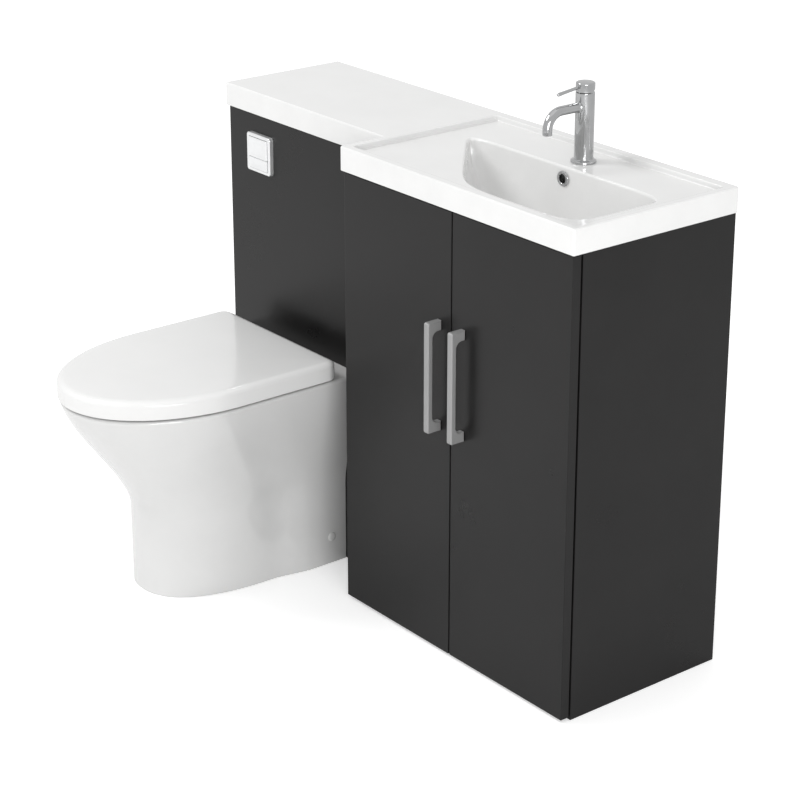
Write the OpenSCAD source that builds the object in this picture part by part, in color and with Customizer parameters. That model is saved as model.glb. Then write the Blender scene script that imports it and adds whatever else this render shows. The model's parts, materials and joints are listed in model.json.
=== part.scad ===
// Toilet and basin combination unit: a basin cabinet with two doors, a shallower toilet
// cabinet beside it, one L-shaped top with a moulded bowl, and a back-to-wall toilet pan.
// Millimetres. The origin is on the floor, at the middle of the whole unit's footprint.
// X runs along the fronts, Y runs back to the wall, and Z is up.

/* [Cabinets] */
// Width of the basin cabinet
basin_w = 600; // [560:10:700]
// Width of the toilet cabinet
wc_w = 500; // [480:10:600]
// Depth of the basin cabinet, doors included
basin_depth = 366; // [360:1:420]
// Depth of the toilet cabinet, front panel included
wc_depth = 268; // [260:1:300]
// Thickness of every board
board = 18; // [16:1:18]
// Gap round the doors
reveal = 1; // [1:0.5:2]
// Gap between a door's back and the cabinet's front edges
door_gap = 3; // [3:0.5:4]

/* [Top] */
// Height of the top's upper face above the floor
top_h = 885; // [860:1:910]
// Thickness of the top at its edge
top_t = 45; // [40:1:50]
// Overhang of the top at the fronts and ends
overhang = 5; // [2:1:10]
// Depth of the sunken tray round the bowl
tray_d = 10; // [6:1:12]
// Reach of the bowl from its waste to its right side
bowl_right = 246; // [200:1:248]
// Reach of the bowl from its waste to its slanting left side
bowl_slant = 119; // [100:1:122]
// Depth of the bowl below the tray
bowl_d = 113; // [95:1:120]

/* [Toilet pan] */
// Reach of the closed lid in front of the toilet cabinet
pan_reach = 524; // [500:1:560]
// Offset of the pan from the middle of the toilet cabinet
pan_shift = -20; // [-40:1:0]
// Height of the pan's rim
pan_h = 402; // [395:1:410]
// Half width of the rim
rim_half_w = 184; // [178:1:184]
// Half width of the pan at the floor
foot_half_w = 122; // [115:1:130]
// Extra half width of the foot where it meets the panel
foot_spread = 14; // [0:1:16]

/* [Handles and tap] */
// Length of a door handle
handle_len = 204; // [160:1:230]
// Reach of a handle in front of its door
handle_reach = 30; // [25:1:35]
// Radius of the tap's body
tap_r = 17; // [16:1:18]
// Height of the tap above the tray
tap_h = 143; // [130:1:150]

/* [Hidden] */
$fn = 48;
wall_y = (wc_depth + pan_reach) / 2;
door_y = wall_y - basin_depth;
door_back = door_y + board;
case_y = door_back + door_gap;
panel_y = wall_y - wc_depth;
panel_back = panel_y + board;
left_x = -(basin_w + wc_w) / 2;
split_x = left_x + wc_w;
right_x = -left_x;
mid_x = split_x + basin_w / 2;
case_h = top_h - top_t;
tray_z = top_h - tray_d;
rail_y = wall_y - board;
floor_z = 30;
shelf_z = 400;
door_z = 6;
door_h = case_h - 3 - door_z;
door_w = basin_w / 2 - reveal - 1.5;

// Bowl, tap and waste
bowl_x = mid_x + 10;
waste_y = wall_y - 196;
bowl_front = 132;
bowl_back = 72;
slant_way = 228;
waste_r = 36;
bowl_wall = 8;
bowl_levels = 9;
bowl_steps = 64;
corner_power = 7;
overflow_z = tray_z - 22;
overflow_y = waste_y + bowl_back - 1.5;
tap_y = wall_y - 79;
skin_z = tray_z - 15;

// Door hinges: a single pivot inside each cup, measured in from the cabinet's side
pivot_in = 8;
pivot_y = case_y - 12;
cup_in = 21.5;
cup_r = 17.5;
hinge_z = [110, 730];

// Toilet pan
pan_x = (left_x + split_x) / 2 + pan_shift;
foot_front = panel_y - 384;
wall_half_w = foot_half_w + foot_spread;
rim_front = panel_y - 522;
foot_straight = panel_y - 168;
rim_straight = panel_y - 268;
flare_z = 170;
pan_wall = 12;
deck_t = 17;
pan_steps = 24;
oval_steps = 40;
pan_levels = [0, 90, 170, 190, 210, 235, 260, 285, 310, 340, 370];
pan_bowl_levels = 12;
pan_bowl_y = -195;
sump_y = -150;
sump_r = 34;
sump_z = 70;
trap_y = -10;
soil_z = 185;
flush_z = 335;
pivot_seat = [66, 424];
post_x = 77.5;
seat_z = 408;
seat_t = 14;
lid_low = 405.5;
lid_top = 443;
lid_half_w = 186;
lid_back = 78;
seat_back = 40;

// Cistern and its fittings
tank_w = 360;
tank_y = rail_y - 120;
tank_z = 470;
tank_h = 330;
valve_y = rail_y - 60;
fill_x = pan_x + 120;
plate_x = split_x - 393;
plate_z = 765;
plate_s = 76;

// ---- Shared shapes ----

// A box between its lowest and highest corners
module block(lo, hi) { translate(lo) cube(hi - lo); }

module rod_x(p, r, len) { translate(p) rotate([0, 90, 0]) cylinder(r = r, h = len); }
module rod_y(p, r, len) { translate(p) rotate([-90, 0, 0]) cylinder(r = r, h = len); }
module rod_z(p, r, len) { translate(p) cylinder(r = r, h = len); }

// A ring-shaped sleeve along Z
module sleeve_z(p, outer, inner, len) {
    translate(p) difference() {
        cylinder(r = outer, h = len);
        translate([0, 0, -1]) cylinder(r = inner, h = len + 2);
    }
}

// A ring-shaped sleeve along Y
module sleeve_y(p, outer, inner, len) {
    translate(p) rotate([-90, 0, 0]) sleeve_z([0, 0, 0], outer, inner, len);
}

// Points of a circular arc
function arc(c, r, from, to, steps = 6) =
    [for (i = [0:steps]) let(a = from + (to - from) * i / steps)
        [c[0] + r * cos(a), c[1] + r * sin(a)]];

// A rectangle with round corners, between its lowest and highest corners
function round_box(lo, hi, r) = concat(
    arc([hi[0] - r, lo[1] + r], r, -90, 0),
    arc([hi[0] - r, hi[1] - r], r, 0, 90),
    arc([lo[0] + r, hi[1] - r], r, 90, 180),
    arc([lo[0] + r, lo[1] + r], r, 180, 270));

// A plate in the XZ plane, from y to y + t
module plate_y(points, y, t) {
    translate([0, y + t, 0]) rotate([90, 0, 0]) linear_extrude(t) polygon(points);
}

// A closed skin through level rings, listed from the lowest up
module loft(rings) {
    n = len(rings[0]);
    m = len(rings);
    polyhedron(
        points = [for (r = rings) each r],
        faces = concat(
            [[for (i = [0:n - 1]) i]],
            [for (k = [0:m - 2], i = [0:n - 1]) let(j = (i + 1) % n)
                each [[k * n + i, (k + 1) * n + i, (k + 1) * n + j],
                      [k * n + i, (k + 1) * n + j, k * n + j]]],
            [[for (i = [n - 1:-1:0]) (m - 1) * n + i]]));
}

function mix(a, b, t) = a + (b - a) * t;
function power(v, n) = sign(v) * pow(abs(v), 2 / n);

// A level oval whose front and back halves have their own reach and squareness
function oval(c, half_w, front, back, n_front, n_back, z) =
    [for (i = [0:oval_steps - 1]) let(a = 360 * i / oval_steps, s = sin(a))
        let(n = s < 0 ? n_front : n_back)
        [c[0] + half_w * power(cos(a), n), c[1] + (s < 0 ? front : back) * power(s, n), z]];

// A pair of like shapes on both sides of x
module both_sides(x) {
    translate([x, 0, 0]) { children(); mirror([1, 0, 0]) children(); }
}

// ---- Top, bowl and waste ----

// The bowl's sides: the way each one faces, and how far it is from the waste
bowl_sides = [[90, bowl_back], [0, bowl_right], [-90, bowl_front], [slant_way, bowl_slant]];

// Reach of the bowl's edge from the waste in one direction, with its corners rounded
function bowl_reach(way, grow) = pow(
    [for (s = bowl_sides) pow(max(cos(way - s[0]), 0) / (s[1] + grow), corner_power)]
        * [1, 1, 1, 1], -1 / corner_power);

// The bowl at one level: its outline at the tray, drawn in to a circle round the waste
function bowl_ring(drop, grow) =
    let(t = 1 - pow(cos(drop), 0.7))
    [for (i = [0:bowl_steps - 1])
        let(way = 360 * i / bowl_steps, r = mix(bowl_reach(way, grow), waste_r + grow, t))
        [bowl_x + r * cos(way), waste_y + r * sin(way), tray_z - (bowl_d + grow) * sin(drop)]];

module bowl(grow, top) {
    rings = [for (k = [0:bowl_levels]) bowl_ring(90 - 90 * k / bowl_levels, grow)];
    loft(concat(rings, [[for (p = rings[bowl_levels]) [p[0], p[1], top]]]));
}

module top_outline(inset) {
    e = overhang - inset;
    polygon([[left_x - e, panel_y - e], [split_x - e, panel_y - e], [split_x - e, door_y - e],
        [right_x + e, door_y - e], [right_x + e, wall_y], [left_x - e, wall_y]]);
}

module basin_top() {
    rim = 28 - overhang;
    color("white") difference() {
        union() {
            difference() {
                translate([0, 0, case_h]) linear_extrude(top_t) top_outline(0);
                block([split_x + rim, case_y + 2, case_h - 1], [right_x - rim, rail_y - 6, skin_z]);
                block([left_x + rim, panel_back + 5, case_h - 1],
                    [split_x - rim - 4, rail_y - 6, skin_z]);
            }
            bowl(bowl_wall, tray_z + 2);
            rod_z([bowl_x, waste_y, tray_z - bowl_d - 17], waste_r, 12);
        }
        translate([0, 0, tray_z]) linear_extrude(tray_d + 1) polygon(round_box(
            [split_x + 11, door_y + 12], [right_x - 11, wall_y - 21], 8));
        bowl(0, top_h + 1);
        rod_z([bowl_x, tap_y, case_h], 15.5, top_t);
        rod_z([bowl_x, waste_y, case_h - 120], 23, 100);
        rod_y([bowl_x, overflow_y - 20, overflow_z], 11, 40);
        block([bowl_x - 15, waste_y + bowl_back + bowl_wall + 0.2, skin_z - 5],
            [bowl_x + 15, waste_y + bowl_back + bowl_wall + 18, skin_z + 9]);
    }
}

// Chrome ring in the overflow hole, with its sleeve through the bowl's wall
module overflow_ring() {
    color("silver") difference() {
        union() {
            rod_y([bowl_x, overflow_y - 3, overflow_z], 14, 3);
            rod_y([bowl_x, overflow_y - 1, overflow_z], 10.8, 20);
        }
        rod_y([bowl_x, overflow_y - 4, overflow_z], 8, 40);
    }
}

// Overflow elbow behind the bowl, and its tube down to the waste
module overflow_run(r) {
    bend = 16;
    low = 700;
    y = overflow_y + 18;
    rod_z([bowl_x - 4, y, low + bend], r, overflow_z - low - bend);
    translate([bowl_x - 4, y - bend, low + bend]) rotate([90, 0, 90])
        rotate([0, 0, -90]) rotate_extrude(angle = 90) translate([bend, 0]) circle(r);
    rod_y([bowl_x - 4, waste_y + 24, low], r, y - bend - waste_y - 24);
}

module overflow_pipe() {
    color("white") difference() {
        union() {
            rod_y([bowl_x, overflow_y + 10, overflow_z], 13, 15);
            overflow_run(7);
        }
        rod_y([bowl_x, overflow_y + 9, overflow_z], 11, 14);
        overflow_run(5);
        rod_y([bowl_x - 4, waste_y + 23, 700], 5, 2);
    }
}

waste_z = tray_z - bowl_d;

// Waste: flange in the bowl, threaded tube, plug guide and overflow inlet
module waste_body() {
    color("silver") difference() {
        union() {
            rod_z([bowl_x, waste_y, waste_z], 33, 3);
            rod_z([bowl_x, waste_y, 616], 20.9, waste_z - 616);
            rod_y([bowl_x - 4, waste_y, 700], 8, 24);
        }
        difference() {
            rod_z([bowl_x, waste_y, 615], 17, waste_z - 600);
            block([bowl_x - 18, waste_y - 5, 735], [bowl_x + 18, waste_y + 5, 741]);
        }
        rod_z([bowl_x, waste_y, 730], 4.05, 20);
        rod_y([bowl_x - 4, waste_y + 10, 700], 5, 20);
    }
}

// Click-clack plug, drawn open
module waste_plug() {
    color("silver") translate([bowl_x, waste_y, 0]) rotate_extrude() polygon(concat(
        [[0, 718], [4, 718], [4, waste_z + 12], [28, waste_z + 12.5]],
        arc([29, waste_z + 14.5], 2, -60, 60), [[18, waste_z + 18], [0, waste_z + 19]]));
}

// Bottle trap: inlet socket, bottle and side socket
module trap_body() {
    color("whitesmoke") difference() {
        union() {
            rod_z([bowl_x, waste_y, 606], 26, 40);
            rod_z([bowl_x, waste_y, 560], 32, 50);
            rod_y([bowl_x, waste_y, 585], 22, 62);
        }
        rod_z([bowl_x, waste_y, 610], 21.2, 40);
        difference() {
            rod_z([bowl_x, waste_y, 559], 29, 48);
            rod_z([bowl_x, waste_y, 558], 19, 60);
        }
        rod_z([bowl_x, waste_y, 555], 16.5, 60);
        rod_y([bowl_x, waste_y + 24, 585], 16.2, 40);
    }
}

module trap_cup() {
    color("whitesmoke") translate([bowl_x, waste_y, 0]) rotate_extrude() polygon(concat(
        [[0, 500]], arc([22, 510], 10, -90, 0), [[32, 560], [29, 560]],
        arc([21, 512], 8, 0, -90), [[0, 504]]));
}

// Waste pipe from the trap to the wall
module trap_outlet() {
    free_y = waste_y + 76;
    color("whitesmoke") difference() {
        union() {
            rod_y([bowl_x, waste_y + 30, 585], 15.2, 47);
            rod_y([bowl_x, free_y, 585], 16, wall_y - free_y);
        }
        rod_y([bowl_x, waste_y + 29, 585], 14, wall_y - waste_y);
    }
}

// ---- Tap ----

spout_r = 8.5;
spout_bend = 30;
spout_z = tray_z + 100;
tip_y = tap_y - 86;
cap_z = tray_z + tap_h - 17;
tilt_z = cap_z + 3;
lever_tilt = 22;

module spout(r) {
    rod_y([bowl_x, tip_y + spout_bend, spout_z], r, tap_y - tip_y - spout_bend);
    translate([bowl_x, tip_y + spout_bend, spout_z - spout_bend]) rotate([90, 0, 90])
        rotate([0, 0, 90]) rotate_extrude(angle = 90) translate([spout_bend, 0]) circle(r);
    rod_z([bowl_x, tip_y, spout_z - spout_bend - 8], r, 8);
}

// Tap body: flange, column, spout and threaded shank
module tap_body() {
    color("silver") difference() {
        union() {
            rod_z([bowl_x, tap_y, tray_z], 23, 5);
            rod_z([bowl_x, tap_y, tray_z + 5], tap_r, cap_z - tray_z - 6);
            rod_z([bowl_x, tap_y, tray_z - 40], 14, 41);
            spout(spout_r);
        }
        rod_z([bowl_x, tap_y, tray_z - 41], 12, 60);
        rod_z([bowl_x, tap_y, cap_z - 40], 14, 41);
        rod_z([bowl_x, tap_y, tray_z + 18], 7, 80);
        difference() {
            spout(6);
            rod_z([bowl_x, tap_y, spout_z - 20], 8, 40);
        }
        rod_z([bowl_x, tip_y, spout_z - spout_bend - 9], 7.2, 8);
    }
}

// Ceramic-disc cartridge that the lever's stem turns in
module tap_cartridge() {
    color("gainsboro") sleeve_z([bowl_x, tap_y, cap_z - 39], 13.9, 4.05, 36);
}

module tap_stem() {
    color("dimgray") union() {
        rod_z([bowl_x, tap_y, cap_z - 34], 4, 37);
        rod_x([bowl_x - 4.5, tap_y, tilt_z], 4, 9);
        rod_x([bowl_x - 12, tap_y, tilt_z], 1.5, 24);
    }
}

// Cap with the pin lever; its back is cut away so that it can tip
module tap_lever() {
    color("silver") difference() {
        union() {
            rod_z([bowl_x, tap_y, cap_z], tap_r, 15);
            translate([bowl_x, tap_y, cap_z + 15]) cylinder(r1 = tap_r, r2 = tap_r - 2, h = 2);
            translate([bowl_x, tap_y, cap_z + 11]) rotate([97, 0, 0]) cylinder(r = 3.2, h = 66);
        }
        translate([bowl_x, tap_y, tilt_z]) rotate([lever_tilt, 0, 0])
            block([-20, -1, -22], [20, 24, -2.4]);
        rod_z([bowl_x, tap_y, cap_z - 1], 8, 11);
        rod_x([bowl_x - 12.5, tap_y, tilt_z], 1.55, 25);
    }
}

module tap_aerator() {
    color("gray") sleeve_z([bowl_x, tip_y, spout_z - spout_bend - 8], 7, 5.5, 6);
}

tail_z = 700;
tail_in = 6.5;
tail_out = 45;
tail_end = wall_y - 44;

// One water tail's run: down from the tap, out to its side, and back towards the wall
module tail_run(r, extra) {
    bend = 14;
    rod_z([tail_in, tap_y, tail_z + bend], r, tray_z - 4 - tail_z - bend + extra);
    translate([tail_in + bend, tap_y, tail_z + bend]) rotate([90, 0, 0])
        rotate([0, 0, 180]) rotate_extrude(angle = 90) translate([bend, 0]) circle(r);
    rod_x([tail_in + bend, tap_y, tail_z], r, tail_out - tail_in - 2 * bend);
    translate([tail_out - bend, tap_y + bend, tail_z])
        rotate([0, 0, 270]) rotate_extrude(angle = 90) translate([bend, 0]) circle(r);
    rod_y([tail_out, tap_y + bend, tail_z], r, tail_end - tap_y - bend + 1);
}

// Copper tails for hot and cold water, with larger ends to join the supply
module tap_tails() {
    color("peru") both_sides(bowl_x) difference() {
        union() {
            tail_run(5, 0);
            rod_y([tail_out, tail_end, tail_z], 7.5, 34);
        }
        tail_run(4, 1);
        rod_y([tail_out, tail_end + 3, tail_z], 6.5, 32);
    }
}

// Nuts that hold the fittings: waste, trap, tap, flush housing, flush pipe and inlet valve
module plumbing_nuts() {
    color("whitesmoke") {
        sleeve_z([bowl_x, waste_y, waste_z - 33], 30, 21, 16);
        sleeve_z([bowl_x, waste_y, 646], 28, 21, 14);
        sleeve_y([bowl_x, waste_y + 62, 585], 25, 16.1, 12);
        sleeve_z([bowl_x, tap_y, skin_z - 10], 19, 14.1, 10);
        sleeve_y([plate_x, panel_back, plate_z], 27, 22.1, 8);
        sleeve_z([pan_x, valve_y, tank_z - 14], 34, 23.1, 14);
        sleeve_z([fill_x, valve_y, tank_z - 8], 16, 10.5, 8);
    }
}

// ---- Basin cabinet ----

dowel_r = 4;
// Each dowel: its side panel's inner face, the way its board runs, and its place
basin_dowels = [for (x = [[split_x + board, 1], [right_x - board, -1]],
    p = [[case_y + 60, floor_z + 9], [rail_y - 50, floor_z + 9],
         [rail_y + 9, case_h - 80], [rail_y + 9, case_h - 20],
         [rail_y + 9, floor_z + 36], [rail_y + 9, floor_z + 80]])
    [x[0], x[1], p[0], p[1]]];
wc_dowels = [for (x = [[left_x + board, 1], [split_x - board, -1]],
    p = [[rail_y + 9, case_h - 80], [rail_y + 9, case_h - 20],
         [rail_y + 9, 20], [rail_y + 9, 60],
         [panel_back + 9, case_h - 37], [panel_back + 9, case_h - 13]])
    [x[0], x[1], p[0], p[1]]];

module dowel_set(list, r) {
    for (d = list) rod_x([d[1] > 0 ? d[0] - 12 : d[0] - 18, d[2], d[3]], r, 30);
}

module dowels() {
    color("burlywood") dowel_set(concat(basin_dowels, wc_dowels), dowel_r - 0.05);
}

pin_places = [for (x = [split_x + board, right_x - board], y = [160, wall_y - 60]) [x, y]];

module side_panel(x, y, list) {
    color("#3a3a3d") difference() {
        block([x, y, 0], [x + board, wall_y, case_h]);
        dowel_set(list, dowel_r);
        if (y == case_y)
            for (p = pin_places) rod_x([p[0] - 8, p[1], shelf_z - 2.5], 2.5, 16);
    }
}

module basin_side_left() { side_panel(split_x, case_y, basin_dowels); }
module basin_side_right() { side_panel(right_x - board, case_y, basin_dowels); }

// A board between two side panels
module between(x0, x1, lo, hi, list) {
    color("#4a4a4d") difference() {
        block([x0 + board, lo[0], lo[1]], [x1 - board, hi[0], hi[1]]);
        dowel_set(list, dowel_r);
    }
}

module basin_floor() {
    between(split_x, right_x, [case_y, floor_z], [wall_y, floor_z + board], basin_dowels);
}

// Rails at the back, drilled for the wall screws
module basin_rail_top() {
    difference() {
        between(split_x, right_x, [rail_y, case_h - 100], [wall_y, case_h], basin_dowels);
        color("#4a4a4d") for (x = [split_x + 80, right_x - 80])
            rod_y([x, rail_y - 1, case_h - 50], 4, board + 2);
    }
}

module basin_rail_low() {
    between(split_x, right_x, [rail_y, floor_z + board], [wall_y, floor_z + 100], basin_dowels);
}

module basin_shelf() {
    color("#4a4a4d") block([split_x + board + 1, 120, shelf_z], [right_x - board - 1, rail_y - 2,
        shelf_z + board]);
}

module shelf_pins() {
    color("silver") for (p = pin_places) rod_x([p[0] - 7.5, p[1], shelf_z - 2.5], 2.45, 15);
}

// Soft pads that the closed doors rest on
module door_buffers() {
    color("gainsboro") for (x = [mid_x - 20, mid_x + 20])
        rod_y([x, case_y - 2.7, floor_z + 9], 4, 2.7);
}

// One door, drawn as the left one, with its cup holes and handle holes
module door() {
    color("#36363a") difference() {
        block([reveal, door_y, door_z], [reveal + door_w, door_back, door_z + door_h]);
        for (z = hinge_z) rod_y([cup_in, door_back - 13, z], cup_r + 0.1, 14);
        for (z = screw_z) rod_y([handle_in, door_y - 1, z], 2.3, board + 2);
    }
}

handle_in = basin_w / 2 - 31.5;
handle_mid = 535;
screw_z = [handle_mid - handle_len / 2 + 9, handle_mid + handle_len / 2 - 9];

// A flat bow handle: a bar with two broad feet
module handle() {
    w = 13;
    bar = 11;
    foot = 18;
    low = handle_mid - handle_len / 2;
    high = handle_mid + handle_len / 2;
    front = door_y - handle_reach;
    r = 12;
    color("silver") difference() {
        translate([handle_in - w / 2, 0, 0]) rotate([90, 0, 90]) linear_extrude(w) polygon(concat(
            [[door_y, high], [door_y, high - foot]],
            arc([front + bar + r, high - foot - r], r, 90, 180),
            arc([front + bar + r, low + foot + r], r, 180, 270),
            [[door_y, low + foot], [door_y, low]],
            arc([front + 4, low + 4], 4, 270, 180), arc([front + 4, high - 4], 4, 180, 90)));
        for (z = screw_z) rod_y([handle_in, door_y - 14, z], 2, 16);
    }
}

// Handle bolts, and the wood screws of the hinge cups
module door_screws() {
    color("gray") {
        for (z = screw_z) {
            rod_y([handle_in, door_y - 12, z], 1.95, board + 12);
            rod_y([handle_in, door_back, z], 4, 2);
        }
        for (z = hinge_z, s = [-1, 1]) rod_y([cup_in + 5.5, door_back + 1.2, z + s * 22], 3, 0.5);
    }
}

// Steel cup with its flange and the pivot pin pressed across it
module hinge_cups() {
    color("silver") for (z = hinge_z) {
        difference() {
            union() {
                rod_y([cup_in, door_back - 12.8, z], cup_r, 12.8);
                block([3, door_back, z - 26], [31, door_back + 1.2, z + 26]);
            }
            rod_y([cup_in, door_back - 11.8, z], cup_r - 1, 14);
        }
        rod_z([pivot_in, pivot_y, z - 10], 1.1, 20);
    }
}

// Arm from the cabinet's side into each cup, ending in a knuckle round the pin
module hinge_arm() {
    for (z = hinge_z) difference() {
        union() {
            rod_z([pivot_in, pivot_y, z - 5], 1.9, 10);
            block([pivot_in, pivot_y - 1, z - 5], [22, pivot_y + 1, z + 5]);
            block([20, pivot_y - 1, z - 5], [22, case_y + 2, z + 5]);
            block([20, case_y + 1, z - 8], [22, case_y + 50, z + 8]);
        }
        rod_z([pivot_in, pivot_y, z - 6], 1.15, 12);
    }
}

module hinge_plate() {
    for (z = hinge_z) {
        block([board, case_y + 12, z - 8], [20, case_y + 50, z + 8]);
        block([board, case_y + 26, z - 24], [20, case_y + 44, z - 8]);
        block([board, case_y + 26, z + 8], [20, case_y + 44, z + 24]);
    }
}

module at_left() { translate([split_x, 0, 0]) children(); }
module at_right() { translate([right_x, 0, 0]) mirror([1, 0, 0]) children(); }

module hinge_arms() { color("silver") { at_left() hinge_arm(); at_right() hinge_arm(); } }
module hinge_plates() { color("gray") { at_left() hinge_plate(); at_right() hinge_plate(); } }
module left_door() { at_left() door(); }
module right_door() { at_right() door(); }
module left_handle() { at_left() handle(); }
module right_handle() { at_right() handle(); }
module left_hinge_cups() { at_left() hinge_cups(); }
module right_hinge_cups() { at_right() hinge_cups(); }
module left_door_screws() { at_left() door_screws(); }
module right_door_screws() { at_right() door_screws(); }

// ---- Toilet cabinet ----

module wc_side_left() { side_panel(left_x, panel_back, wc_dowels); }
module wc_side_right() { side_panel(split_x - board, panel_back, wc_dowels); }

// Removable front panel with the pipes' holes and the flush control's hole
module wc_panel() {
    color("#36363a") difference() {
        block([left_x + reveal, panel_y, 2], [split_x - 0.5, panel_back, case_h - 2]);
        rod_y([pan_x, panel_y - 1, soil_z], 75, board + 2);
        rod_y([pan_x, panel_y - 1, flush_z], 34, board + 2);
        rod_y([plate_x, panel_y - 1, plate_z], 23, board + 2);
    }
}

// Two rails at the back for the wall and the cistern, one behind the front panel's top
module wc_rails() {
    difference() {
        union() {
            between(left_x, split_x, [rail_y, case_h - 100], [wall_y, case_h], wc_dowels);
            between(left_x, split_x, [rail_y, 0], [wall_y, 80], wc_dowels);
            between(left_x, split_x, [panel_back, case_h - 46], [panel_back + board, case_h],
                wc_dowels);
        }
        color("#4a4a4d") for (x = [left_x + 80, split_x - 80])
            rod_y([x, rail_y - 1, case_h - 25], 4, board + 2);
    }
}

// ---- Flush control ----

button_gap = 0.4;
full_h = 40;

module flush_bezel() {
    s = plate_s / 2;
    color("silver") difference() {
        plate_y(round_box([plate_x - s, plate_z - s], [plate_x + s, plate_z + s], 5),
            panel_y - 9, 9);
        block([plate_x - s + 7, panel_y - 10, plate_z - s + 7],
            [plate_x + s - 7, panel_y + 1, plate_z + s - 7]);
    }
}

// Threaded sleeve through the panel, guiding both buttons' stems
module flush_housing() {
    color("whitesmoke") difference() {
        union() {
            plate_y(round_box([plate_x - 30, plate_z - 30], [plate_x + 30, plate_z + 30], 3),
                panel_y - 1.5, 1.5);
            rod_y([plate_x, panel_y - 1, plate_z], 22, 50);
        }
        for (z = [full_stem_z, half_stem_z]) {
            rod_y([plate_x, panel_y - 4, z], 4.05, 60);
            rod_y([plate_x, panel_y + 36, z], 6, 14);
        }
    }
}

full_stem_z = plate_z + 10.5;
half_stem_z = plate_z - 14;

module button(z0, z1, stem_z) {
    color("white") union() {
        plate_y(round_box([plate_x - 31 + button_gap, z0], [plate_x + 31 - button_gap, z1], 2),
            panel_y - 10.5, 2.5);
        rod_y([plate_x, panel_y - 8.5, stem_z], 4, 42);
    }
}

module full_button() { button(plate_z - 9 + button_gap, plate_z + 31 - button_gap, full_stem_z); }
module half_button() { button(plate_z - 31 + button_gap, plate_z - 9, half_stem_z); }

// Air tubes from the two buttons into the cistern
module air_tubes() {
    bend = 20;
    start = panel_y + 45;
    color("lightsteelblue") for (z = [full_stem_z, half_stem_z]) {
        rod_y([plate_x, start, z], 3.5, valve_y - bend - start);
        translate([plate_x + bend, valve_y - bend, z]) rotate([0, 0, 90])
            rotate_extrude(angle = 90) translate([bend, 0]) circle(3.5);
        rod_x([plate_x + bend, valve_y, z], 3.5, pan_x - 42 - plate_x - bend);
    }
}

// ---- Cistern ----

module cistern_tank() {
    w = tank_w / 2;
    color("ghostwhite") difference() {
        translate([0, 0, tank_z]) linear_extrude(tank_h)
            polygon(round_box([pan_x - w, tank_y], [pan_x + w, rail_y], 16));
        translate([0, 0, tank_z + 4]) linear_extrude(tank_h)
            polygon(round_box([pan_x - w + 4, tank_y + 4], [pan_x + w - 4, rail_y - 4], 12));
        rod_z([pan_x, valve_y, tank_z - 1], 23.5, 6);
        rod_z([fill_x, valve_y, tank_z - 1], 10.8, 6);
        for (z = [full_stem_z, half_stem_z]) rod_y([plate_x, tank_y - 1, z], 3.8, 8);
    }
}

module cistern_lid() {
    w = tank_w / 2;
    color("ghostwhite") {
        translate([0, 0, tank_z + tank_h]) linear_extrude(5)
            polygon(round_box([pan_x - w, tank_y], [pan_x + w, rail_y], 16));
        translate([0, 0, tank_z + tank_h - 8]) linear_extrude(9) difference() {
            polygon(round_box([pan_x - w + 5, tank_y + 5], [pan_x + w - 5, rail_y - 5], 11));
            polygon(round_box([pan_x - w + 8, tank_y + 8], [pan_x + w - 8, rail_y - 8], 9));
        }
    }
}

valve_seat = tank_z + 10;

// Flush valve: outlet tail, seat, cage and the head that the air tubes reach
module flush_valve_body() {
    color("whitesmoke") translate([pan_x, valve_y, 0]) difference() {
        union() {
            rod_z([0, 0, tank_z - 34], 23, 39);
            rod_z([0, 0, tank_z + 4], 39, 6);
            for (a = [0, 90, 180, 270]) rotate([0, 0, a]) rod_z([36, 0, tank_z + 8], 4, 246);
            rod_z([0, 0, tank_z + 130], 41, 12);
            rod_z([0, 0, tank_z + 250], 42, 64);
        }
        rod_z([0, 0, tank_z - 35], 20, 50);
        rod_z([0, 0, tank_z + 129], 17, 14);
    }
}

// Lifting overflow tube with the seal at its foot
module flush_valve_lift() {
    color("tomato") translate([pan_x, valve_y, valve_seat + 0.3]) difference() {
        union() {
            cylinder(r = 16, h = 200);
            cylinder(r = 28, h = 5);
        }
        translate([0, 0, -1]) cylinder(r = 13, h = 210);
    }
}

float_z = tank_z + 120;

// Inlet valve: threaded tail, riser and head
module fill_valve() {
    color("whitesmoke") translate([fill_x, valve_y, 0]) difference() {
        union() {
            rod_z([0, 0, tank_z - 40], 10.45, 31);
            rod_z([0, 0, tank_z - 10], 9.8, 15);
            rod_z([0, 0, tank_z + 4], 16, 6);
            rod_z([0, 0, tank_z + 8], 13, 262);
            rod_z([0, 0, float_z - 6], 17, 6);
            rod_z([0, 0, tank_z + 270], 20, 34);
        }
        rod_z([0, 0, tank_z - 41], 7, 60);
        rod_z([0, 0, tank_z + 18], 9, 240);
    }
}

// Float cup that rises along the inlet valve, drawn at its lowest
module fill_float() {
    color("lightskyblue") translate([fill_x, valve_y, float_z + 0.3]) difference() {
        cylinder(r = 30, h = 62);
        translate([0, 0, -1]) cylinder(r = 13.5, h = 70);
        translate([0, 0, -1]) difference() {
            cylinder(r = 28, h = 60);
            cylinder(r = 15.5, h = 60);
        }
    }
}

// Flush pipe from the cistern to the pan's inlet
module flush_pipe() {
    bend = 45;
    module run(r) {
        rod_z([pan_x, valve_y, flush_z + bend], r, tank_z - 14 - flush_z - bend);
        translate([pan_x, valve_y - bend, flush_z + bend]) rotate([90, 0, 90])
            rotate([0, 0, -90]) rotate_extrude(angle = 90) translate([bend, 0]) circle(r);
        rod_y([pan_x, panel_y - 48, flush_z], r, valve_y - bend - panel_y + 48);
    }
    color("whitesmoke") difference() {
        run(19.8);
        run(17.5);
        rod_z([pan_x, valve_y, tank_z - 20], 17.5, 8);
        rod_y([pan_x, panel_y - 50, flush_z], 17.5, 8);
    }
}

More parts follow.
